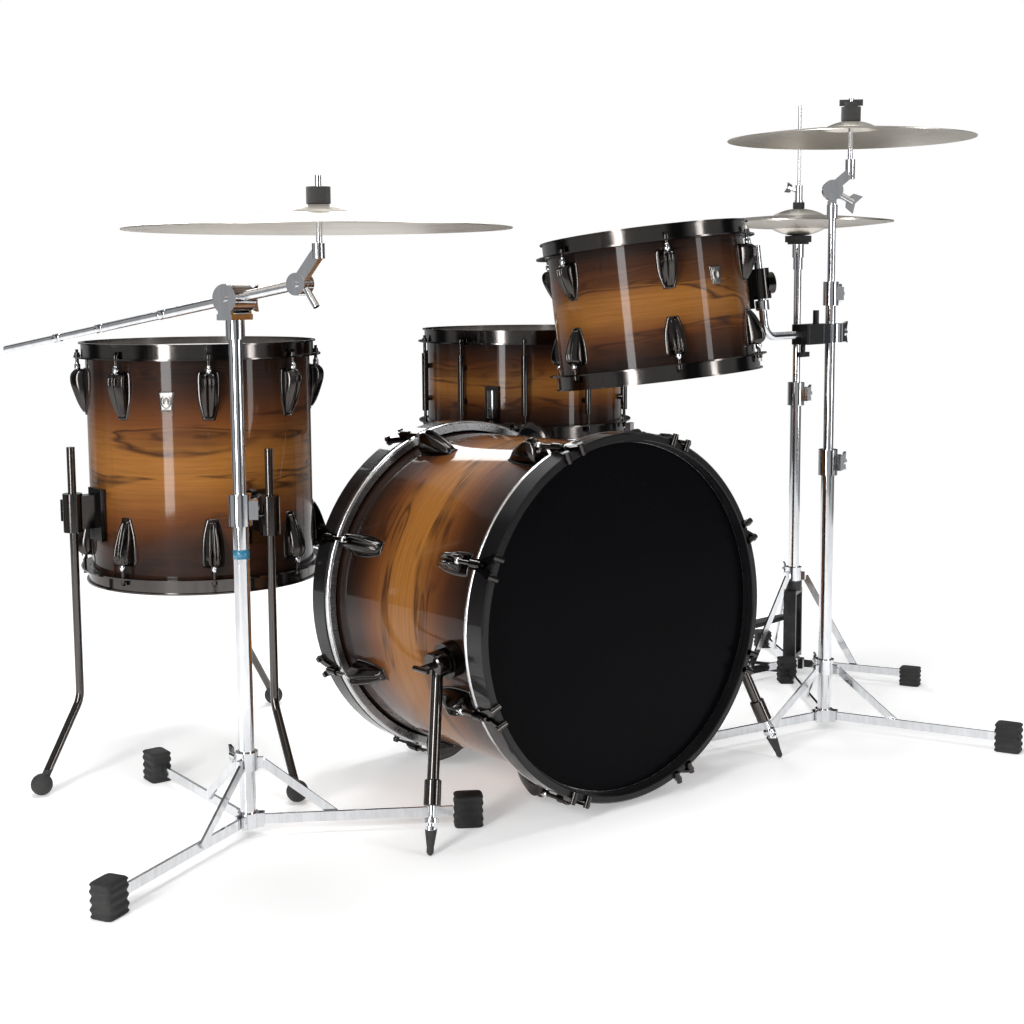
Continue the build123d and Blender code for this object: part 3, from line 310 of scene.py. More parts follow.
def lathed_bronze(name, centre, seed):
    """Cymbal bronze: turning grooves in tonal bands, hammer marks and a brushed, cloudy shine."""
    look = Finish(name, (0.55, 0.52, 0.47), metallic=1.0, roughness=0.34)
    local = look.placed(Matrix.Translation(centre))
    rings = look.add("ShaderNodeCombineXYZ")
    look.links.new(look.length(look.stretched(local, (1, 1, 0))), rings.inputs[0])
    rings.inputs[1].default_value = seed
    bands = look.noise(rings.outputs[0], 70.0, 6.0, 0.8)
    fine = look.noise(rings.outputs[0], 900.0, 3.0, 0.8)
    cloud = look.noise(local, 9.0, 3.0)
    warm = look.mix(look.ranged(bands, 0.3, 0.7), (0.78, 0.74, 0.67), (0.56, 0.52, 0.46))
    look.colour(look.mix(look.ranged(cloud, 0.3, 0.7, 0.0, 0.35), warm, (0.62, 0.56, 0.48)))
    look.roughness(look.ranged(bands, 0.3, 0.7, 0.24, 0.42))
    hammer = look.noise(local, 46.0, 1.0)
    look.bump(look.math("ADD", look.math("MULTIPLY", fine, 0.35), look.math("MULTIPLY", hammer, 0.8)),
              0.0012, 0.35)
    return look.material


def lacquer_black(name):
    look = Finish(name, (0.006, 0.006, 0.007), roughness=0.4, Specular_IOR_Level=0.08, Coat_Weight=1.0,
                  Coat_Roughness=0.05, Coat_IOR=1.28)
    local = look.placed()
    cloud = look.noise(local, 12.0, 3.0)
    look.colour(look.ramp(cloud, ((0.3, (0.004, 0.004, 0.005)), (0.7, (0.010, 0.009, 0.009)))))
    look.bump(look.noise(local, 30.0, 2.0), 0.001, 0.03)
    return look.material


def head_film(name, colour, roughness, specular, grain):
    """Drum head film: a fine sprayed tooth over a slow mottle."""
    look = Finish(name, colour, roughness=roughness, Specular_IOR_Level=specular)
    local = look.placed()
    cloud = look.noise(local, 6.0, 3.0)
    look.colour(look.mix(look.ranged(cloud, 0.3, 0.7), colour, tuple(c * 0.86 for c in colour)))
    look.roughness(look.ranged(look.noise(local, 160.0, 3.0), 0.3, 0.7, roughness, roughness + 0.08))
    look.bump(look.noise(local, 1100.0, 3.0), 0.0006, grain)
    return look.material


def rubber(name):
    look = Finish(name, (0.018, 0.018, 0.018), roughness=0.78)
    local = look.placed()
    pits = look.noise(local, 500.0, 5.0)
    dust = look.noise(local, 22.0, 3.0)
    look.colour(look.mix(look.ranged(dust, 0.4, 0.75, 0.0, 0.5), (0.012, 0.012, 0.012), (0.05, 0.048, 0.046)))
    look.roughness(look.ranged(pits, 0.3, 0.7, 0.68, 0.9))
    look.bump(pits, 0.0012, 0.5)
    return look.material


def coated_casting(name, colour, roughness):
    """A cast part under a satin powder coat with an orange-peel surface."""
    look = Finish(name, colour, metallic=0.35, roughness=roughness, Coat_Weight=0.3, Coat_Roughness=0.25)
    local = look.placed()
    peel = look.noise(local, 420.0, 3.0)
    worn = look.noise(local, 40.0, 4.0)
    look.colour(look.mix(look.ranged(worn, 0.45, 0.75), colour, tuple(c * 2.1 + 0.01 for c in colour)))
    look.roughness(look.ranged(peel, 0.3, 0.7, roughness - 0.06, roughness + 0.08))
    look.bump(peel, 0.0008, 0.3)
    return look.material


def satin_steel(name, colour, roughness):
    """Steel with fine brushing that runs round the piece."""
    look = Finish(name, colour, metallic=1.0, roughness=roughness)
    brush = look.noise(look.placed(scale=(60, 900, 60)), 1.0, 5.0, 0.7)
    look.colour(look.mix(look.ranged(brush, 0.3, 0.7), colour, tuple(c * 0.78 for c in colour)))
    look.roughness(look.ranged(brush, 0.3, 0.7, roughness - 0.05, roughness + 0.1))
    look.bump(brush, 0.0006, 0.2)
    return look.material


def part_plated(name, way, edge):
    """A black coated clamp whose jaw, past an edge along a direction, is bare plate."""
    look = Finish(name, CHROME, metallic=1.0, roughness=0.08)
    local = look.placed()
    along = look.add("ShaderNodeVectorMath", operation="DOT_PRODUCT")
    look.links.new(local, along.inputs[0])
    along.inputs[1].default_value = way
    bare = look.ranged(along.outputs["Value"], edge - COAT_EDGE, edge + COAT_EDGE)
    peel = look.noise(local, 420.0, 3.0)
    black = look.mix(look.ranged(peel, 0.3, 0.7), (0.010, 0.010, 0.010), (0.020, 0.020, 0.020))
    look.colour(look.mix(bare, black, CHROME))
    look.metallic(look.ranged(bare, 0.0, 1.0, 0.3, 1.0))
    look.roughness(look.ranged(bare, 0.0, 1.0, 0.38, 0.09))
    look.bump(look.math("MULTIPLY", peel, look.math("SUBTRACT", 1.0, bare)), 0.0008, 0.3)
    return look.material


CHROME, SMOKED = (0.74, 0.75, 0.77), (0.105, 0.096, 0.091)
chrome = plated("chrome_plate", CHROME, 0.06)
smoked_nickel = plated("smoked_nickel_plate", SMOKED, 0.10, 0.03)
smoked_dark = plated("smoked_nickel_deep", (0.068, 0.063, 0.060), 0.12, 0.03)
black_lacquer = lacquer_black("black_hoop_lacquer")
front_film = head_film("black_head_film", (0.0022, 0.0022, 0.0030), 0.20, 0.03, 0.03)
coated_film = head_film("coated_head_film", (0.78, 0.77, 0.74), 0.62, 0.4, 0.35)
foot_rubber = rubber("ribbed_foot_rubber")
black_felt = felt("black_felt")
black_coat = coated_casting("black_casting_coat", (0.014, 0.014, 0.014), 0.38)
flesh_steel = satin_steel("satin_flesh_hoop", (0.62, 0.62, 0.63), 0.26)

FINISHES = {
    "stand_base_tubes": chrome, "stand_castings": chrome, "stand_legs": chrome, "stand_struts": chrome,
    "straight_middle_tube": chrome, "straight_upper_tube": chrome, "straight_tilter": chrome,
    "boom_upper_tube": chrome, "boom_tilter": chrome, "boom_arm": chrome, "boom_cymbal_tilter": chrome,
    "snare_basket": chrome, "tom_l_rod": chrome, "snare_wires": flesh_steel, "snare_lever": chrome,
    "floor_hoops": smoked_nickel, "tom_hoops": smoked_nickel, "snare_hoops": smoked_nickel,
    "floor_tension_rods": smoked_dark, "tom_tension_rods": smoked_dark, "snare_tension_rods": smoked_dark,
    "bass_tension_rods": smoked_nickel, "floor_lugs": smoked_dark, "tom_lugs": smoked_dark,
    "snare_lugs": smoked_dark, "bass_lugs": smoked_dark, "bass_claws": smoked_dark,
    "floor_leg_brackets": smoked_dark, "tom_bracket": smoked_dark, "snare_strainer": smoked_dark,
    "spur_brackets": smoked_dark, "spur_tube_left": smoked_nickel, "spur_tube_right": smoked_nickel,
    "bass_hoops": black_lacquer, "bass_heads": front_film, "bass_flesh_hoops": flesh_steel,
    "floor_heads": coated_film, "tom_heads": coated_film, "snare_heads": coated_film,
    "stand_feet": foot_rubber, "boom_felts": black_felt, "hihat_frame": black_coat,
    "hihat_footboard": black_coat, "straight_felts": black_felt,
}


def finish_node(node, material):
    """Give a CAD node its one finish."""
    thing = frame["nodes"][node]
    thing.data.materials.clear()
    thing.data.materials.append(material)


for node, material in FINISHES.items():
    finish_node(node, material)
# Each shell: its frame, the middle of its wood along that frame's Z, half its length and its veneer's seed
for shell, veneer, place, centre, half, seed in (
        ("floor_shell", "floor_tom_veneer", floor_tom, -RIM_UP - FLOOR_DEPTH / 2, FLOOR_DEPTH / 2, 3.1),
        ("tom_shell", "rack_tom_veneer", rack_tom, -RIM_UP - TOM_DEPTH / 2, TOM_DEPTH / 2, 7.7),
        ("snare_shell", "snare_veneer", snare, -RIM_UP - SNARE_DEPTH / 2, SNARE_DEPTH / 2, 1.4),
        ("bass_shell", "bass_veneer", bass_drum, BASS_LENGTH / 2, BASS_LENGTH / 2 - HOOP_DEPTH, 5.3)):
    finish_node(shell, sunburst_veneer(veneer, place, centre, half, seed))

# Heights above the floor where the rubber of a floor tom leg and of a spur rod ends
LEG_RUBBER_TOP, SPUR_RUBBER_TOP = 0.036, 0.034
for leg in ("left", "front", "rear"):
    finish_node(f"floor_leg_{leg}",
                dipped(f"floor_leg_{leg}_finish", SMOKED, 0.12, LEG_RUBBER_TOP, (0.016, 0.016, 0.016)))
for side in ("left", "right"):
    finish_node(f"spur_rod_{side}",
                dipped(f"spur_rod_{side}_finish", CHROME, 0.08, SPUR_RUBBER_TOP, (0.014, 0.014, 0.014)))

# The rack tom's clamp: the level direction of its bare jaw, and how far along that the plate begins
JAW_WAY, JAW_EDGE = (0.788, -0.616, 0.0), 0.482
finish_node("tom_clamp", part_plated("tom_clamp_finish", JAW_WAY, JAW_EDGE))

# Hi-hat: depth of the seat felt below its tube's top, and height of the clutch felt over the cymbals
SEAT_FELT, OVER_SEAT, CLUTCH_FELT = 0.016, 0.001, 0.0122
seat_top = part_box("hihat_upper_tube")[1].z
finish_node("hihat_upper_tube",
            felted("hihat_tube_finish", CHROME, 0.07, seat_top - SEAT_FELT, seat_top + OVER_SEAT))
hat_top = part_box("hihat_top_cymbal")[1].z
finish_node("hihat_pull_rod", felted("hihat_rod_finish", CHROME, 0.07, hat_top, hat_top + CLUTCH_FELT))
for cymbal, seed in (("boom", 2.0), ("straight", 5.0), ("hihat_top", 8.0), ("hihat_bottom", 11.0)):
    node = f"{cymbal}_cymbal"
    finish_node(node, lathed_bronze(f"{node}_bronze", middle(node), seed))


# ---------------------------------------------------------------- repeats and meshes

def give(modifier, name, value):
    """Set one of a modifier's inputs by its name."""
    items = modifier.node_group.interface.items_tree
    socket = next(item for item in items if item.name == name and item.in_out == "INPUT")
    modifier[socket.identifier] = value


def round_the_drum_tree():
    """A tree that sets its own mesh out round the Z axis, count times from a first angle."""
    tree = bpy.data.node_groups.new("set_out_round_axis", "GeometryNodeTree")
    face = tree.interface
    face.new_socket("Geometry", in_out="INPUT", socket_type="NodeSocketGeometry")
    for name, kind in (("Count", "NodeSocketInt"), ("First", "NodeSocketFloat")):
        face.new_socket(name, in_out="INPUT", socket_type=kind)
    face.new_socket("Finish", in_out="INPUT", socket_type="NodeSocketMaterial")
    face.new_socket("Geometry", in_out="OUTPUT", socket_type="NodeSocketGeometry")
    new, link = tree.nodes.new, tree.links.new
    given, result = new("NodeGroupInput"), new("NodeGroupOutput")
    points, instance = new("GeometryNodeMeshLine"), new("GeometryNodeInstanceOnPoints")
    points.inputs["Offset"].default_value = (0, 0, 0)
    index, step, angle = new("GeometryNodeInputIndex"), new("ShaderNodeMath"), new("ShaderNodeMath")
    turn, rotation = new("ShaderNodeMath"), new("ShaderNodeCombineXYZ")
    step.operation, angle.operation, turn.operation = "DIVIDE", "MULTIPLY", "ADD"
    angle.inputs[1].default_value = 2 * pi
    link(given.outputs["Count"], points.inputs["Count"])
    link(index.outputs[0], step.inputs[0])
    link(given.outputs["Count"], step.inputs[1])
    link(step.outputs[0], angle.inputs[0])
    link(angle.outputs[0], turn.inputs[0])
    link(given.outputs["First"], turn.inputs[1])
    link(turn.outputs[0], rotation.inputs["Z"])
    link(points.outputs[0], instance.inputs["Points"])
    link(given.outputs["Geometry"], instance.inputs["Instance"])
    link(rotation.outputs[0], instance.inputs["Rotation"])
    real, finish = new("GeometryNodeRealizeInstances"), new("GeometryNodeSetMaterial")
    link(instance.outputs[0], real.inputs[0])
    link(real.outputs[0], finish.inputs["Geometry"])
    link(given.outputs["Finish"], finish.inputs["Material"])
    link(finish.outputs[0], result.inputs[0])
    return tree


set_out = round_the_drum_tree()


def repeated(name, mesh, count, first, material):
    """A mesh repeated round the Z axis with the tree, fixed as plain mesh."""
    maker = bpy.data.objects.new(f"{name}_maker", mesh)
    bpy.context.scene.collection.objects.link(maker)
    modifier = maker.modifiers.new("set_out", "NODES")
    modifier.node_group = set_out
    for socket, value in (("Count", count), ("First", first), ("Finish", material)):
        give(modifier, socket, value)
    bpy.context.view_layer.update()
    graph = bpy.context.evaluated_depsgraph_get()
    plain = bpy.data.meshes.new_from_object(maker.evaluated_get(graph))
    bpy.data.objects.remove(maker)
    return plain


def solid_piece(name, mesh, place, material, body):
    """Hang a finished mesh on a body, with smooth faces and its material slot named."""
    mesh.transform(place)
    mesh.name = name
    mesh.materials.clear()
    mesh.materials.append(material)
    for face in mesh.polygons:
        face.use_smooth = True
    piece = bpy.data.objects.new(name, mesh)
    bpy.context.scene.collection.objects.link(piece)
    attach(piece, body)
    return piece


def mesh_of(build, *args):
    """Run a bmesh builder and return its mesh with normals outwards."""
    shape = bmesh.new()
    build(shape, *args)
    bmesh.ops.remove_doubles(shape, verts=shape.verts, dist=1e-6)
    bmesh.ops.recalc_face_normals(shape, faces=shape.faces)
    mesh = bpy.data.meshes.new("shape")
    shape.to_mesh(mesh)
    shape.free()
    return mesh


def circle(radius, height, sides, centre=0.0):
    """Points round a level circle whose middle lies on the X axis."""
    turns = [2 * pi * k / sides for k in range(sides)]
    return [(centre + radius * cos(turn), radius * sin(turn), height) for turn in turns]


def skin(shape, rings):
    """Join rings of points, each the same length, and close both ends."""
    rows = [[shape.verts.new(p) for p in ring] for ring in rings]
    for one, two in zip(rows, rows[1:]):
        for k in range(len(one)):
            j = (k + 1) % len(one)
            shape.faces.new((one[k], one[j], two[j], two[k]))
    shape.faces.new(list(reversed(rows[0])))
    shape.faces.new(rows[-1])


# ---------------------------------------------------------------- lugs

# A lug casing's width and lift, as shares of the greatest, from its rod end to its tip
LUG_WIDTHS = ((0.0, 0.86), (0.06, 0.96), (0.25, 1.0), (0.60, 0.93), (0.85, 0.70), (0.93, 0.60), (1.0, 0.52))
LUG_LIFTS = ((0.0, 0.62), (0.10, 0.92), (0.26, 1.0), (0.58, 0.74), (0.86, 0.40), (1.0, 0.14))


def eased(stops, at):
    """The value of a smooth curve through the stops of a table."""
    slopes = [(b[1] - a[1]) / (b[0] - a[0]) for a, b in zip(stops, stops[1:])]
    bends = [slopes[0]] + [(a + b) / 2 for a, b in zip(slopes, slopes[1:])] + [slopes[-1]]
    for k, ((low, first), (high, second)) in enumerate(zip(stops, stops[1:])):
        if at <= high:
            span = high - low
            t = max(0.0, (at - low) / span)
            return ((2 * t ** 3 - 3 * t * t + 1) * first + (t ** 3 - 2 * t * t + t) * span * bends[k]
                    + (3 * t * t - 2 * t ** 3) * second + (t ** 3 - t * t) * span * bends[k + 1])
    return stops[-1][1]


# A casing's foot plate: its thickness, its overhang and how far it sinks into the shell; then the casing's
# inset on the plate, the share of the plate where it starts, the share it covers and its flutes' depth
PLATE_THICK, PLATE_OVERHANG, PLATE_SUNK = 0.0028, 0.0012, 0.003
CASING_INSET, CASING_START, CASING_SHARE, FLUTE_DEPTH = 0.0022, 0.02, 0.92, 0.24


def ribbed_casing(shape, radius, start, length, width, height, upward):
    """A lug casing on a shell: a keystone foot plate under a body with three flutes, highest by its rod."""
    slices, around_body = 26, 34
    direction = 1 if upward else -1

    def half_width(s):
        return width / 2 * eased(LUG_WIDTHS, s)

    def lift(s):
        return height * eased(LUG_LIFTS, s)

    def section(s, inset, low, high, fluted):
        across = half_width(s) - inset
        points = []
        for k in range(around_body + 1):
            swing = pi * k / around_body
            flute = 1.0 - fluted * 0.5 * (1 - cos(6 * swing)) * sin(swing) ** 2
            rise = max(sin(swing), 0.0) ** 0.62
            y = across * cos(swing)
            points.append((radius + low + (high - low) * rise * flute, y, start + direction * s * length))
        return points

    shares = [k / slices for k in range(slices + 1)]
    skin(shape, [section(s, -PLATE_OVERHANG, -PLATE_SUNK, PLATE_THICK, 0) for s in shares])
    skin(shape, [section(CASING_START + CASING_SHARE * s, CASING_INSET, 0.0, lift(s) + PLATE_THICK,
                         FLUTE_DEPTH)
                 for s in shares])


# A swivel nut: its radius and how far it stands into a lug; its turned end's shares of radius and length
NUT_R, NUT_IN = 0.0047, 0.004
NUT_NECK, NUT_TIP, NUT_NOSE = 0.72, 0.62, 0.35


def sleeve(shape, reach, low, high, outer):
    """A swivel nut's end: a small turned sleeve that stands out of a lug."""
    sides = 24
    tip = high + (high - low) * NUT_NOSE
    for near, far, z0, z1 in ((outer, outer, low, high), (outer * NUT_NECK, outer * NUT_TIP, high, tip)):
        skin(shape, [circle(near, z0, sides, reach), circle(far, z1, sides, reach)])


def dress_lugs(name, place, radius, body, count, first, start, length, width, height, reach, depth):
    """Lug casings and their swivel nuts at both ends of a drum, in place of the CAD lugs."""
    node = f"{name}_lugs"

    def both(shape):
        ribbed_casing(shape, radius, start, length, width, height, start > 0)
        ribbed_casing(shape, radius, depth - start, length, width, height, not start > 0)

    def nuts(shape):
        into = NUT_IN if start > 0 else -NUT_IN
        for at, way in ((start, -into), (depth - start, into)):
            low, high = sorted((at - way, at + way * 1.6))
            sleeve(shape, reach, low, high, NUT_R)

    casing_name, nut_name = f"{name}_lug_casings", f"{name}_swivel_nuts"
    casings = solid_piece(casing_name, repeated(casing_name, mesh_of(both), count, first, smoked_dark), place,
                          smoked_dark, body)
    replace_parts(casings, node)
    solid_piece(nut_name, repeated(nut_name, mesh_of(nuts), count, first, chrome), place, chrome, body)


dress_lugs("floor", floor_tom, FLOOR_R, "kit", count=8, first=radians(-113), start=-0.041, length=0.074,
           width=0.033, height=0.023, reach=FLOOR_R + ROD_OUT, depth=-2 * RIM_UP - FLOOR_DEPTH)
dress_lugs("tom", rack_tom, TOM_R, "tom", count=6, first=radians(-2), start=-0.037, length=0.057,
           width=0.031, height=0.022, reach=TOM_R + ROD_OUT, depth=-2 * RIM_UP - TOM_DEPTH)
dress_lugs("bass", bass_drum, BASS_R, "kit", count=8, first=radians(22.5), start=BASS_LUG_START, length=0.074,
           width=0.034, height=0.033, reach=BASS_ROD_OUT, depth=BASS_LENGTH)


# ---------------------------------------------------------------- badges, beads, collars and band

def keystone_badge(shape, radius, middle_z, height):
    """A small plate that follows the shell: straight head, tapered sides, a raised ring at its middle."""
    cells, half = 18, height * 0.42
    shares = [2 * k / cells - 1 for k in range(cells + 1)]

    def spot(u, v, out):
        across = half * u * (1.0 - 0.26 * (0.5 - v / 2))
        turn = across / radius
        return ((radius + out) * cos(turn), (radius + out) * sin(turn), middle_z + height / 2 * v)

    def relief(u, v):
        reach = (u * u * 0.9 + v * v) ** 0.5
        ring = max(0.0, 1 - abs(reach - 0.52) / 0.12)
        edge = min(1.0, (1 - max(abs(u), abs(v))) * 7)
        return 0.0006 + 0.0010 * edge + 0.0007 * ring - 0.0006 * max(0.0, 1 - reach / 0.36)

    front = [[shape.verts.new(spot(u, v, relief(u, v))) for u in shares] for v in shares]
    back = [[shape.verts.new(spot(u, v, 0)) for u in shares] for v in shares]
    for j in range(cells):
        for i in range(cells):
            shape.faces.new((front[j][i], front[j][i + 1], front[j + 1][i + 1], front[j + 1][i]))
            shape.faces.new((back[j][i], back[j + 1][i], back[j + 1][i + 1], back[j][i + 1]))
    edge = ([(0, i) for i in range(cells)] + [(j, cells) for j in range(cells)]
            + [(cells, cells - i) for i in range(cells)] + [(cells - j, 0) for j in range(cells)])
    for (j, i), (m, k) in zip(edge, edge[1:] + edge[:1]):
        shape.faces.new((front[j][i], back[j][i], back[m][k], front[m][k]))


def turned_ring(shape, profile, sides=48):
    """A closed ring turned about Z from (radius, height) points."""
    rows = [[shape.verts.new(point) for point in circle(r, z, sides)] for r, z in profile]
    for one, two in zip(rows, rows[1:] + rows[:1]):
        for k in range(sides):
            j = (k + 1) % sides
            shape.faces.new((one[k], one[j], two[j], two[k]))


badge_plate = plated("badge_plate", (0.20, 0.19, 0.18), 0.24, 0.02)
# Each badge: its drum's frame and radius, the height of its middle, its own height and its bearing in degrees
for name, place, radius, centre, height, bearing, body in (
        ("floor_badge", floor_tom, FLOOR_R, -0.086, 0.030, -133.5, "kit"),
        ("rack_badge", rack_tom, TOM_R, -0.081, 0.027, -92.4, "tom")):
    solid_piece(name, mesh_of(keystone_badge, radius, centre, height),
                place @ Matrix.Rotation(radians(bearing), 4, "Z"), badge_plate, body)


def rounded_ring(reach, height, thick, points=14):
    """The section of a round bead, as (radius, height) points."""
    return [(reach + thick * cos(2 * pi * k / points), height + thick * sin(2 * pi * k / points))
            for k in range(points)]


# The bass hoops' beads: radius of the ring, radius of its section and how far its middle lies past the hoop
BEAD_R, BEAD_THICK, BEAD_PAST_HOOP = 0.2686, 0.0041, 0.003


def hoop_beads(shape):
    """The bright bead at the shell side of each bass drum hoop."""
    for height in (HOOP_DEPTH + BEAD_PAST_HOOP, BASS_LENGTH - HOOP_DEPTH - BEAD_PAST_HOOP):
        turned_ring(shape, rounded_ring(BEAD_R, height, BEAD_THICK), 144)


bead_steel = satin_steel("bead_steel", (0.86, 0.86, 0.87), 0.20)
solid_piece("bass_hoop_beads", mesh_of(hoop_beads), bass_drum, bead_steel, "kit")


# A collar's half length, how deep its knurling is and its outline: shares of that half length and the growth
# in radius there. Only the waist, up to the share KNURLED_TO, is knurled.
COLLAR_HALF, KNURL, KNURLED_TO = 0.008, 0.0004, 0.55
COLLAR_OUTLINE = ((-1.0, -0.0006), (-0.92, 0.0009), (-0.6, 0.0012), (-0.52, 0.0005),
                  (0.52, 0.0005), (0.6, 0.0012), (0.92, 0.0009), (1.0, -0.0006))


def knurled_collars(shape, places):
    """Turned collars with knurled waists, at (height, radius) places along an axis."""
    sides = 72
    for height, reach in places:
        rows = []
        for share, grow in COLLAR_OUTLINE:
            cut = KNURL if abs(share) < KNURLED_TO else 0.0
            row = []
            for k in range(sides):
                out, turn = reach + grow + cut * (k % 2), 2 * pi * k / sides
                row.append((out * cos(turn), out * sin(turn), height + share * COLLAR_HALF))
            rows.append(row)
        skin(shape, rows)


BOOM_R = 0.007
boom_pivot, boom_way = Vector(joint("boom_tilt")["pos_m"]), Vector(joint("boom_reach")["axis"])
# Each collar sits on a thinner length of the arm, no wider than its thickest, so it slides through the tilter
BOOM_COLLARS = ((-0.128, BOOM_R - 0.0012), (-0.248, BOOM_R - 0.0018), (-0.332, BOOM_R - 0.0018))
solid_piece("boom_arm_collars", mesh_of(knurled_collars, BOOM_COLLARS), upright(boom_pivot, boom_way), chrome,
            "boom_arm")


def printed_film(name, colour, worn_colour):
    """A thin coloured film, a little worn through."""
    look = Finish(name, colour, roughness=0.32, Coat_Weight=0.4, Coat_Roughness=0.1)
    local = look.placed()
    scuffs = look.noise(local, 260.0, 5.0, 0.65)
    look.colour(look.mix(look.ranged(scuffs, 0.56, 0.70), colour, worn_colour))
    look.roughness(look.ranged(scuffs, 0.3, 0.7, 0.26, 0.46))
    return look.material


band_film = printed_film("stand_band_film", (0.010, 0.150, 0.260), (0.30, 0.34, 0.36))
# The coloured band round the boom stand's tube: inner and outer radius, length and height above the floor
BAND_INNER, BAND_OUTER, BAND_LENGTH, BAND_AT = 0.01112, 0.01145, 0.013, 0.396
band = ((BAND_OUTER, 0.0), (BAND_OUTER, BAND_LENGTH), (BAND_INNER, BAND_LENGTH), (BAND_INNER, 0.0))
solid_piece("boom_stand_band", mesh_of(turned_ring, band),
            Matrix.Translation((boom_pivot.x, boom_pivot.y, BAND_AT)), band_film, "kit")


# ---------------------------------------------------------------- rubber feet

def loose_middles(node):
    """The box of each separate solid of a CAD node, as its middle and its size, in order of the middles."""
    shape = bmesh.new()
    shape.from_mesh(frame["nodes"][node].data)
    bmesh.ops.remove_doubles(shape, verts=shape.verts, dist=1e-5)
    left, boxes = set(shape.verts), []
    while left:
        patch, edge = set(), [left.pop()]
        while edge:
            vert = edge.pop()
            patch.add(vert)
            for link in vert.link_edges:
                other = link.other_vert(vert)
                if other in left:
                    left.discard(other)
                    edge.append(other)
        low = Vector([min(v.co[k] for v in patch) for k in range(3)])
        high = Vector([max(v.co[k] for v in patch) for k in range(3)])
        boxes.append(((low + high) / 2, high - low))
    shape.free()
    return sorted(boxes, key=lambda box: tuple(box[0]))


def ribbed_block(shape, place, length, width, height):
    """A rubber foot: a block with rounded corners, waisted sides and four ribs running round it."""
    rows, sides = 44, 48
    rings = []
    for j in range(rows + 1):
        t = j / rows
        swell = 0.90 + 0.05 * cos(2 * pi * 4 * t) + 0.05 * (2 * t - 1) ** 2
        cap = 0.86 + 0.14 * min(1.0, min(t, 1 - t) / 0.05)
        ring = []
        for k in range(sides):
            a = 2 * pi * k / sides
            c, d = cos(a), sin(a)
            square = (abs(c) ** 7 + abs(d) ** 7) ** (-1 / 7)
            ring.append(place @ Vector((length / 2 * c * square * swell * cap,
                                        width / 2 * d * square * swell * cap,
                                        height * t)))
        rings.append(ring)
    skin(shape, rings)


# Length and width of the cymbal stands' feet and of the smaller feet, and the height that tells them apart
BIG_FOOT, SMALL_FOOT, BIG_FOOT_HEIGHT = (0.044, 0.036), (0.040, 0.034), 0.040


def rubber_feet(shape):
    """A ribbed foot over each plain block, turned along its leg."""
    large = [Vector(joint(name)["pos_m"]) for name in ("boom_tilt", "straight_tilt")]
    small = [middle("hihat_upper_tube"), middle("snare_shell")]
    for at, size in loose_middles("stand_feet"):
        stands, (length, width) = (large, BIG_FOOT) if size.z > BIG_FOOT_HEIGHT else (small, SMALL_FOOT)
        away = min(((at - stand) * Vector((1, 1, 0)) for stand in stands), key=lambda way: way.length)
        along = away.normalized()
        turn = Matrix((along, Vector((-along.y, along.x, 0)), Vector((0, 0, 1)))).transposed().to_4x4()
        low = Vector((at.x, at.y, at.z - size.z / 2))
        ribbed_block(shape, Matrix.Translation(low) @ turn, length, width, size.z)


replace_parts(solid_piece("ribbed_feet", mesh_of(rubber_feet), Matrix.Identity(4), foot_rubber, "kit"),
            "stand_feet")


# ---------------------------------------------------------------- light, floor and camera

def softbox(name, at, look, width, height, power):
    light = bpy.data.lights.new(name, "AREA")
    light.shape, light.size, light.size_y, light.energy = "RECTANGLE", width, height, power
    thing = bpy.data.objects.new(name, light)
    thing.location = at
    thing.rotation_euler = (Vector(look) - Vector(at)).to_track_quat("-Z", "Y").to_euler()
    thing.visible_camera = False
    bpy.context.scene.collection.objects.link(thing)


# Softboxes: name, where each stands, what it faces, its width, its height and its power in watts
SOFTBOXES = (
    ("key_softbox", (-3.1, -1.25, 1.35), (0, 0, 1.2), 0.55, 2.7, 88),
    ("fill_softbox", (1.5, -4.0, 1.5), (0.1, 0, 1.3), 0.5, 2.8, 46),
    ("top_softbox", (0, 0.1, 3.6), (0, 0, 0), 2.4, 1.3, 92),
    ("back_softbox", (1.6, 3.6, 2.4), (0, 0, 0.6), 2.0, 1.0, 45),
)

# The surround: how many panels, the phase they start at, the shades of its gaps and panels, and the shares of
# a wave where a gap ends and a panel begins
PANELS, PANEL_PHASE, GAP, PANEL = 5, 0.5, (0.030, 0.031, 0.033), (0.36, 0.365, 0.37)
GAP_END, PANEL_START = 0.12, 0.36

# The floor: its radius, its number of sides, the radii between which it brightens, and its least glow
FLOOR_REACH, FLOOR_SIDES, FLOOR_FADE, FLOOR_GLOW = 2.9, 128, (1.1, 2.5), 0.30


def panelled_surround(tree):
    def step(operation, *values):
        node = tree.nodes.new("ShaderNodeMath")
        node.operation = operation
        for socket, value in zip(node.inputs, values):
            if isinstance(value, bpy.types.NodeSocket):
                tree.links.new(value, socket)
            else:
                socket.default_value = value
        return node.outputs[0]

    place, parts = tree.nodes.new("ShaderNodeTexCoord"), tree.nodes.new("ShaderNodeSeparateXYZ")
    tree.links.new(place.outputs["Generated"], parts.inputs[0])
    bearing = step("ARCTAN2", parts.outputs["Y"], parts.outputs["X"])
    wave = step("SINE", step("MULTIPLY_ADD", bearing, PANELS, PANEL_PHASE))
    shade = tree.nodes.new("ShaderNodeValToRGB")
    tree.links.new(step("MULTIPLY_ADD", wave, 0.5, 0.5), shade.inputs["Fac"])
    for element, position, colour in zip(shade.color_ramp.elements, (GAP_END, PANEL_START), (GAP, PANEL)):
        element.position = position
        element.color = (*colour, 1)
    return shade.outputs["Color"]


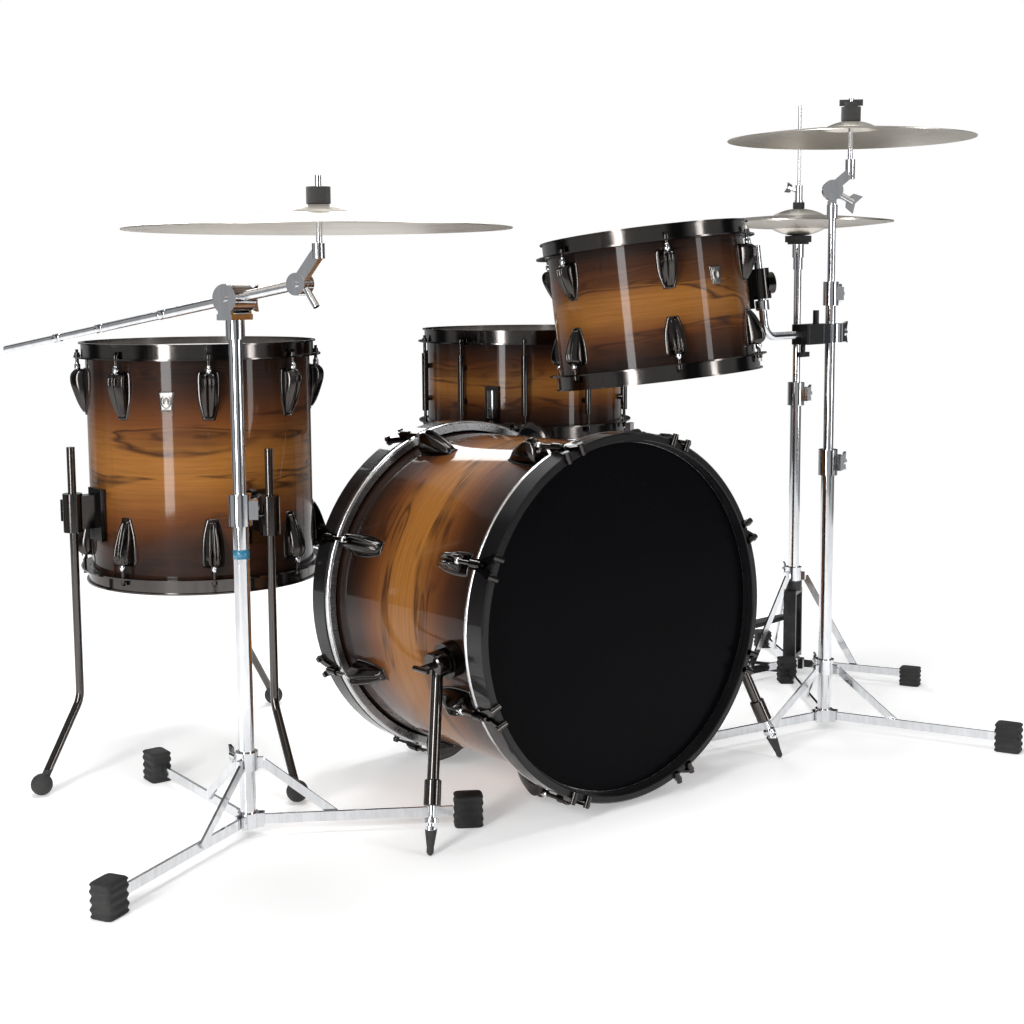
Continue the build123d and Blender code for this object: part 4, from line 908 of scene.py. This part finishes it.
def studio():
    """A white backdrop that only the camera sees, the panelled surround for the metal, and the softboxes."""
    world = bpy.data.worlds.new("studio")
    bpy.context.scene.world = world
    world.use_nodes = True
    tree = world.node_tree
    background = tree.nodes["Background"]
    background.inputs["Strength"].default_value = 1.0
    background.inputs["Color"].default_value = (1, 1, 1, 1)
    surround = tree.nodes.new("ShaderNodeBackground")
    tree.links.new(panelled_surround(tree), surround.inputs["Color"])
    mix, path = tree.nodes.new("ShaderNodeMixShader"), tree.nodes.new("ShaderNodeLightPath")
    tree.links.new(path.outputs["Is Camera Ray"], mix.inputs[0])
    tree.links.new(surround.outputs[0], mix.inputs[1])
    tree.links.new(background.outputs[0], mix.inputs[2])
    tree.links.new(mix.outputs[0], tree.nodes["World Output"].inputs["Surface"])
    for box in SOFTBOXES:
        softbox(*box)


def studio_floor():
    """A round pale floor that brightens outwards until it meets the white backdrop."""
    mesh = bpy.data.meshes.new("studio_floor")
    mesh.from_pydata(circle(FLOOR_REACH, 0, FLOOR_SIDES), [], [tuple(range(FLOOR_SIDES))])
    plane = bpy.data.objects.new("studio_floor", mesh)
    bpy.context.scene.collection.objects.link(plane)
    look = Finish("pale_floor", (0.92, 0.92, 0.92), roughness=0.9, Specular_IOR_Level=0.1)
    local = look.placed()
    outwards = look.ranged(look.length(local), *FLOOR_FADE)
    pale = look.mix(look.noise(local, 3.0, 2.0), (0.93, 0.93, 0.93), (0.91, 0.91, 0.91))
    look.colour(look.mix(outwards, pale, (0, 0, 0)))
    look.shader.inputs["Emission Color"].default_value = (1, 1, 1, 1)
    look.links.new(look.ranged(outwards, 0.0, 1.0, FLOOR_GLOW, 1.0), look.shader.inputs["Emission Strength"])
    mesh.materials.append(look.material)


def camera():
    data = bpy.data.cameras.new("camera")
    data.lens, data.shift_x, data.shift_y = CAMERA_LENS, CAMERA_SHIFT_X, CAMERA_SHIFT_Y
    thing = bpy.data.objects.new("camera", data)
    turn = (Euler((0, 0, -CAMERA_YAW)).to_matrix() @ Euler((pi / 2 - CAMERA_DOWN, 0, 0)).to_matrix()
            @ Euler((0, 0, CAMERA_ROLL)).to_matrix())
    thing.matrix_world = Matrix.Translation(CAMERA_AT) @ turn.to_4x4()
    bpy.context.scene.collection.objects.link(thing)
    bpy.context.scene.camera = thing


studio()
studio_floor()
camera()
bpy.context.scene.view_settings.view_transform = "Standard"
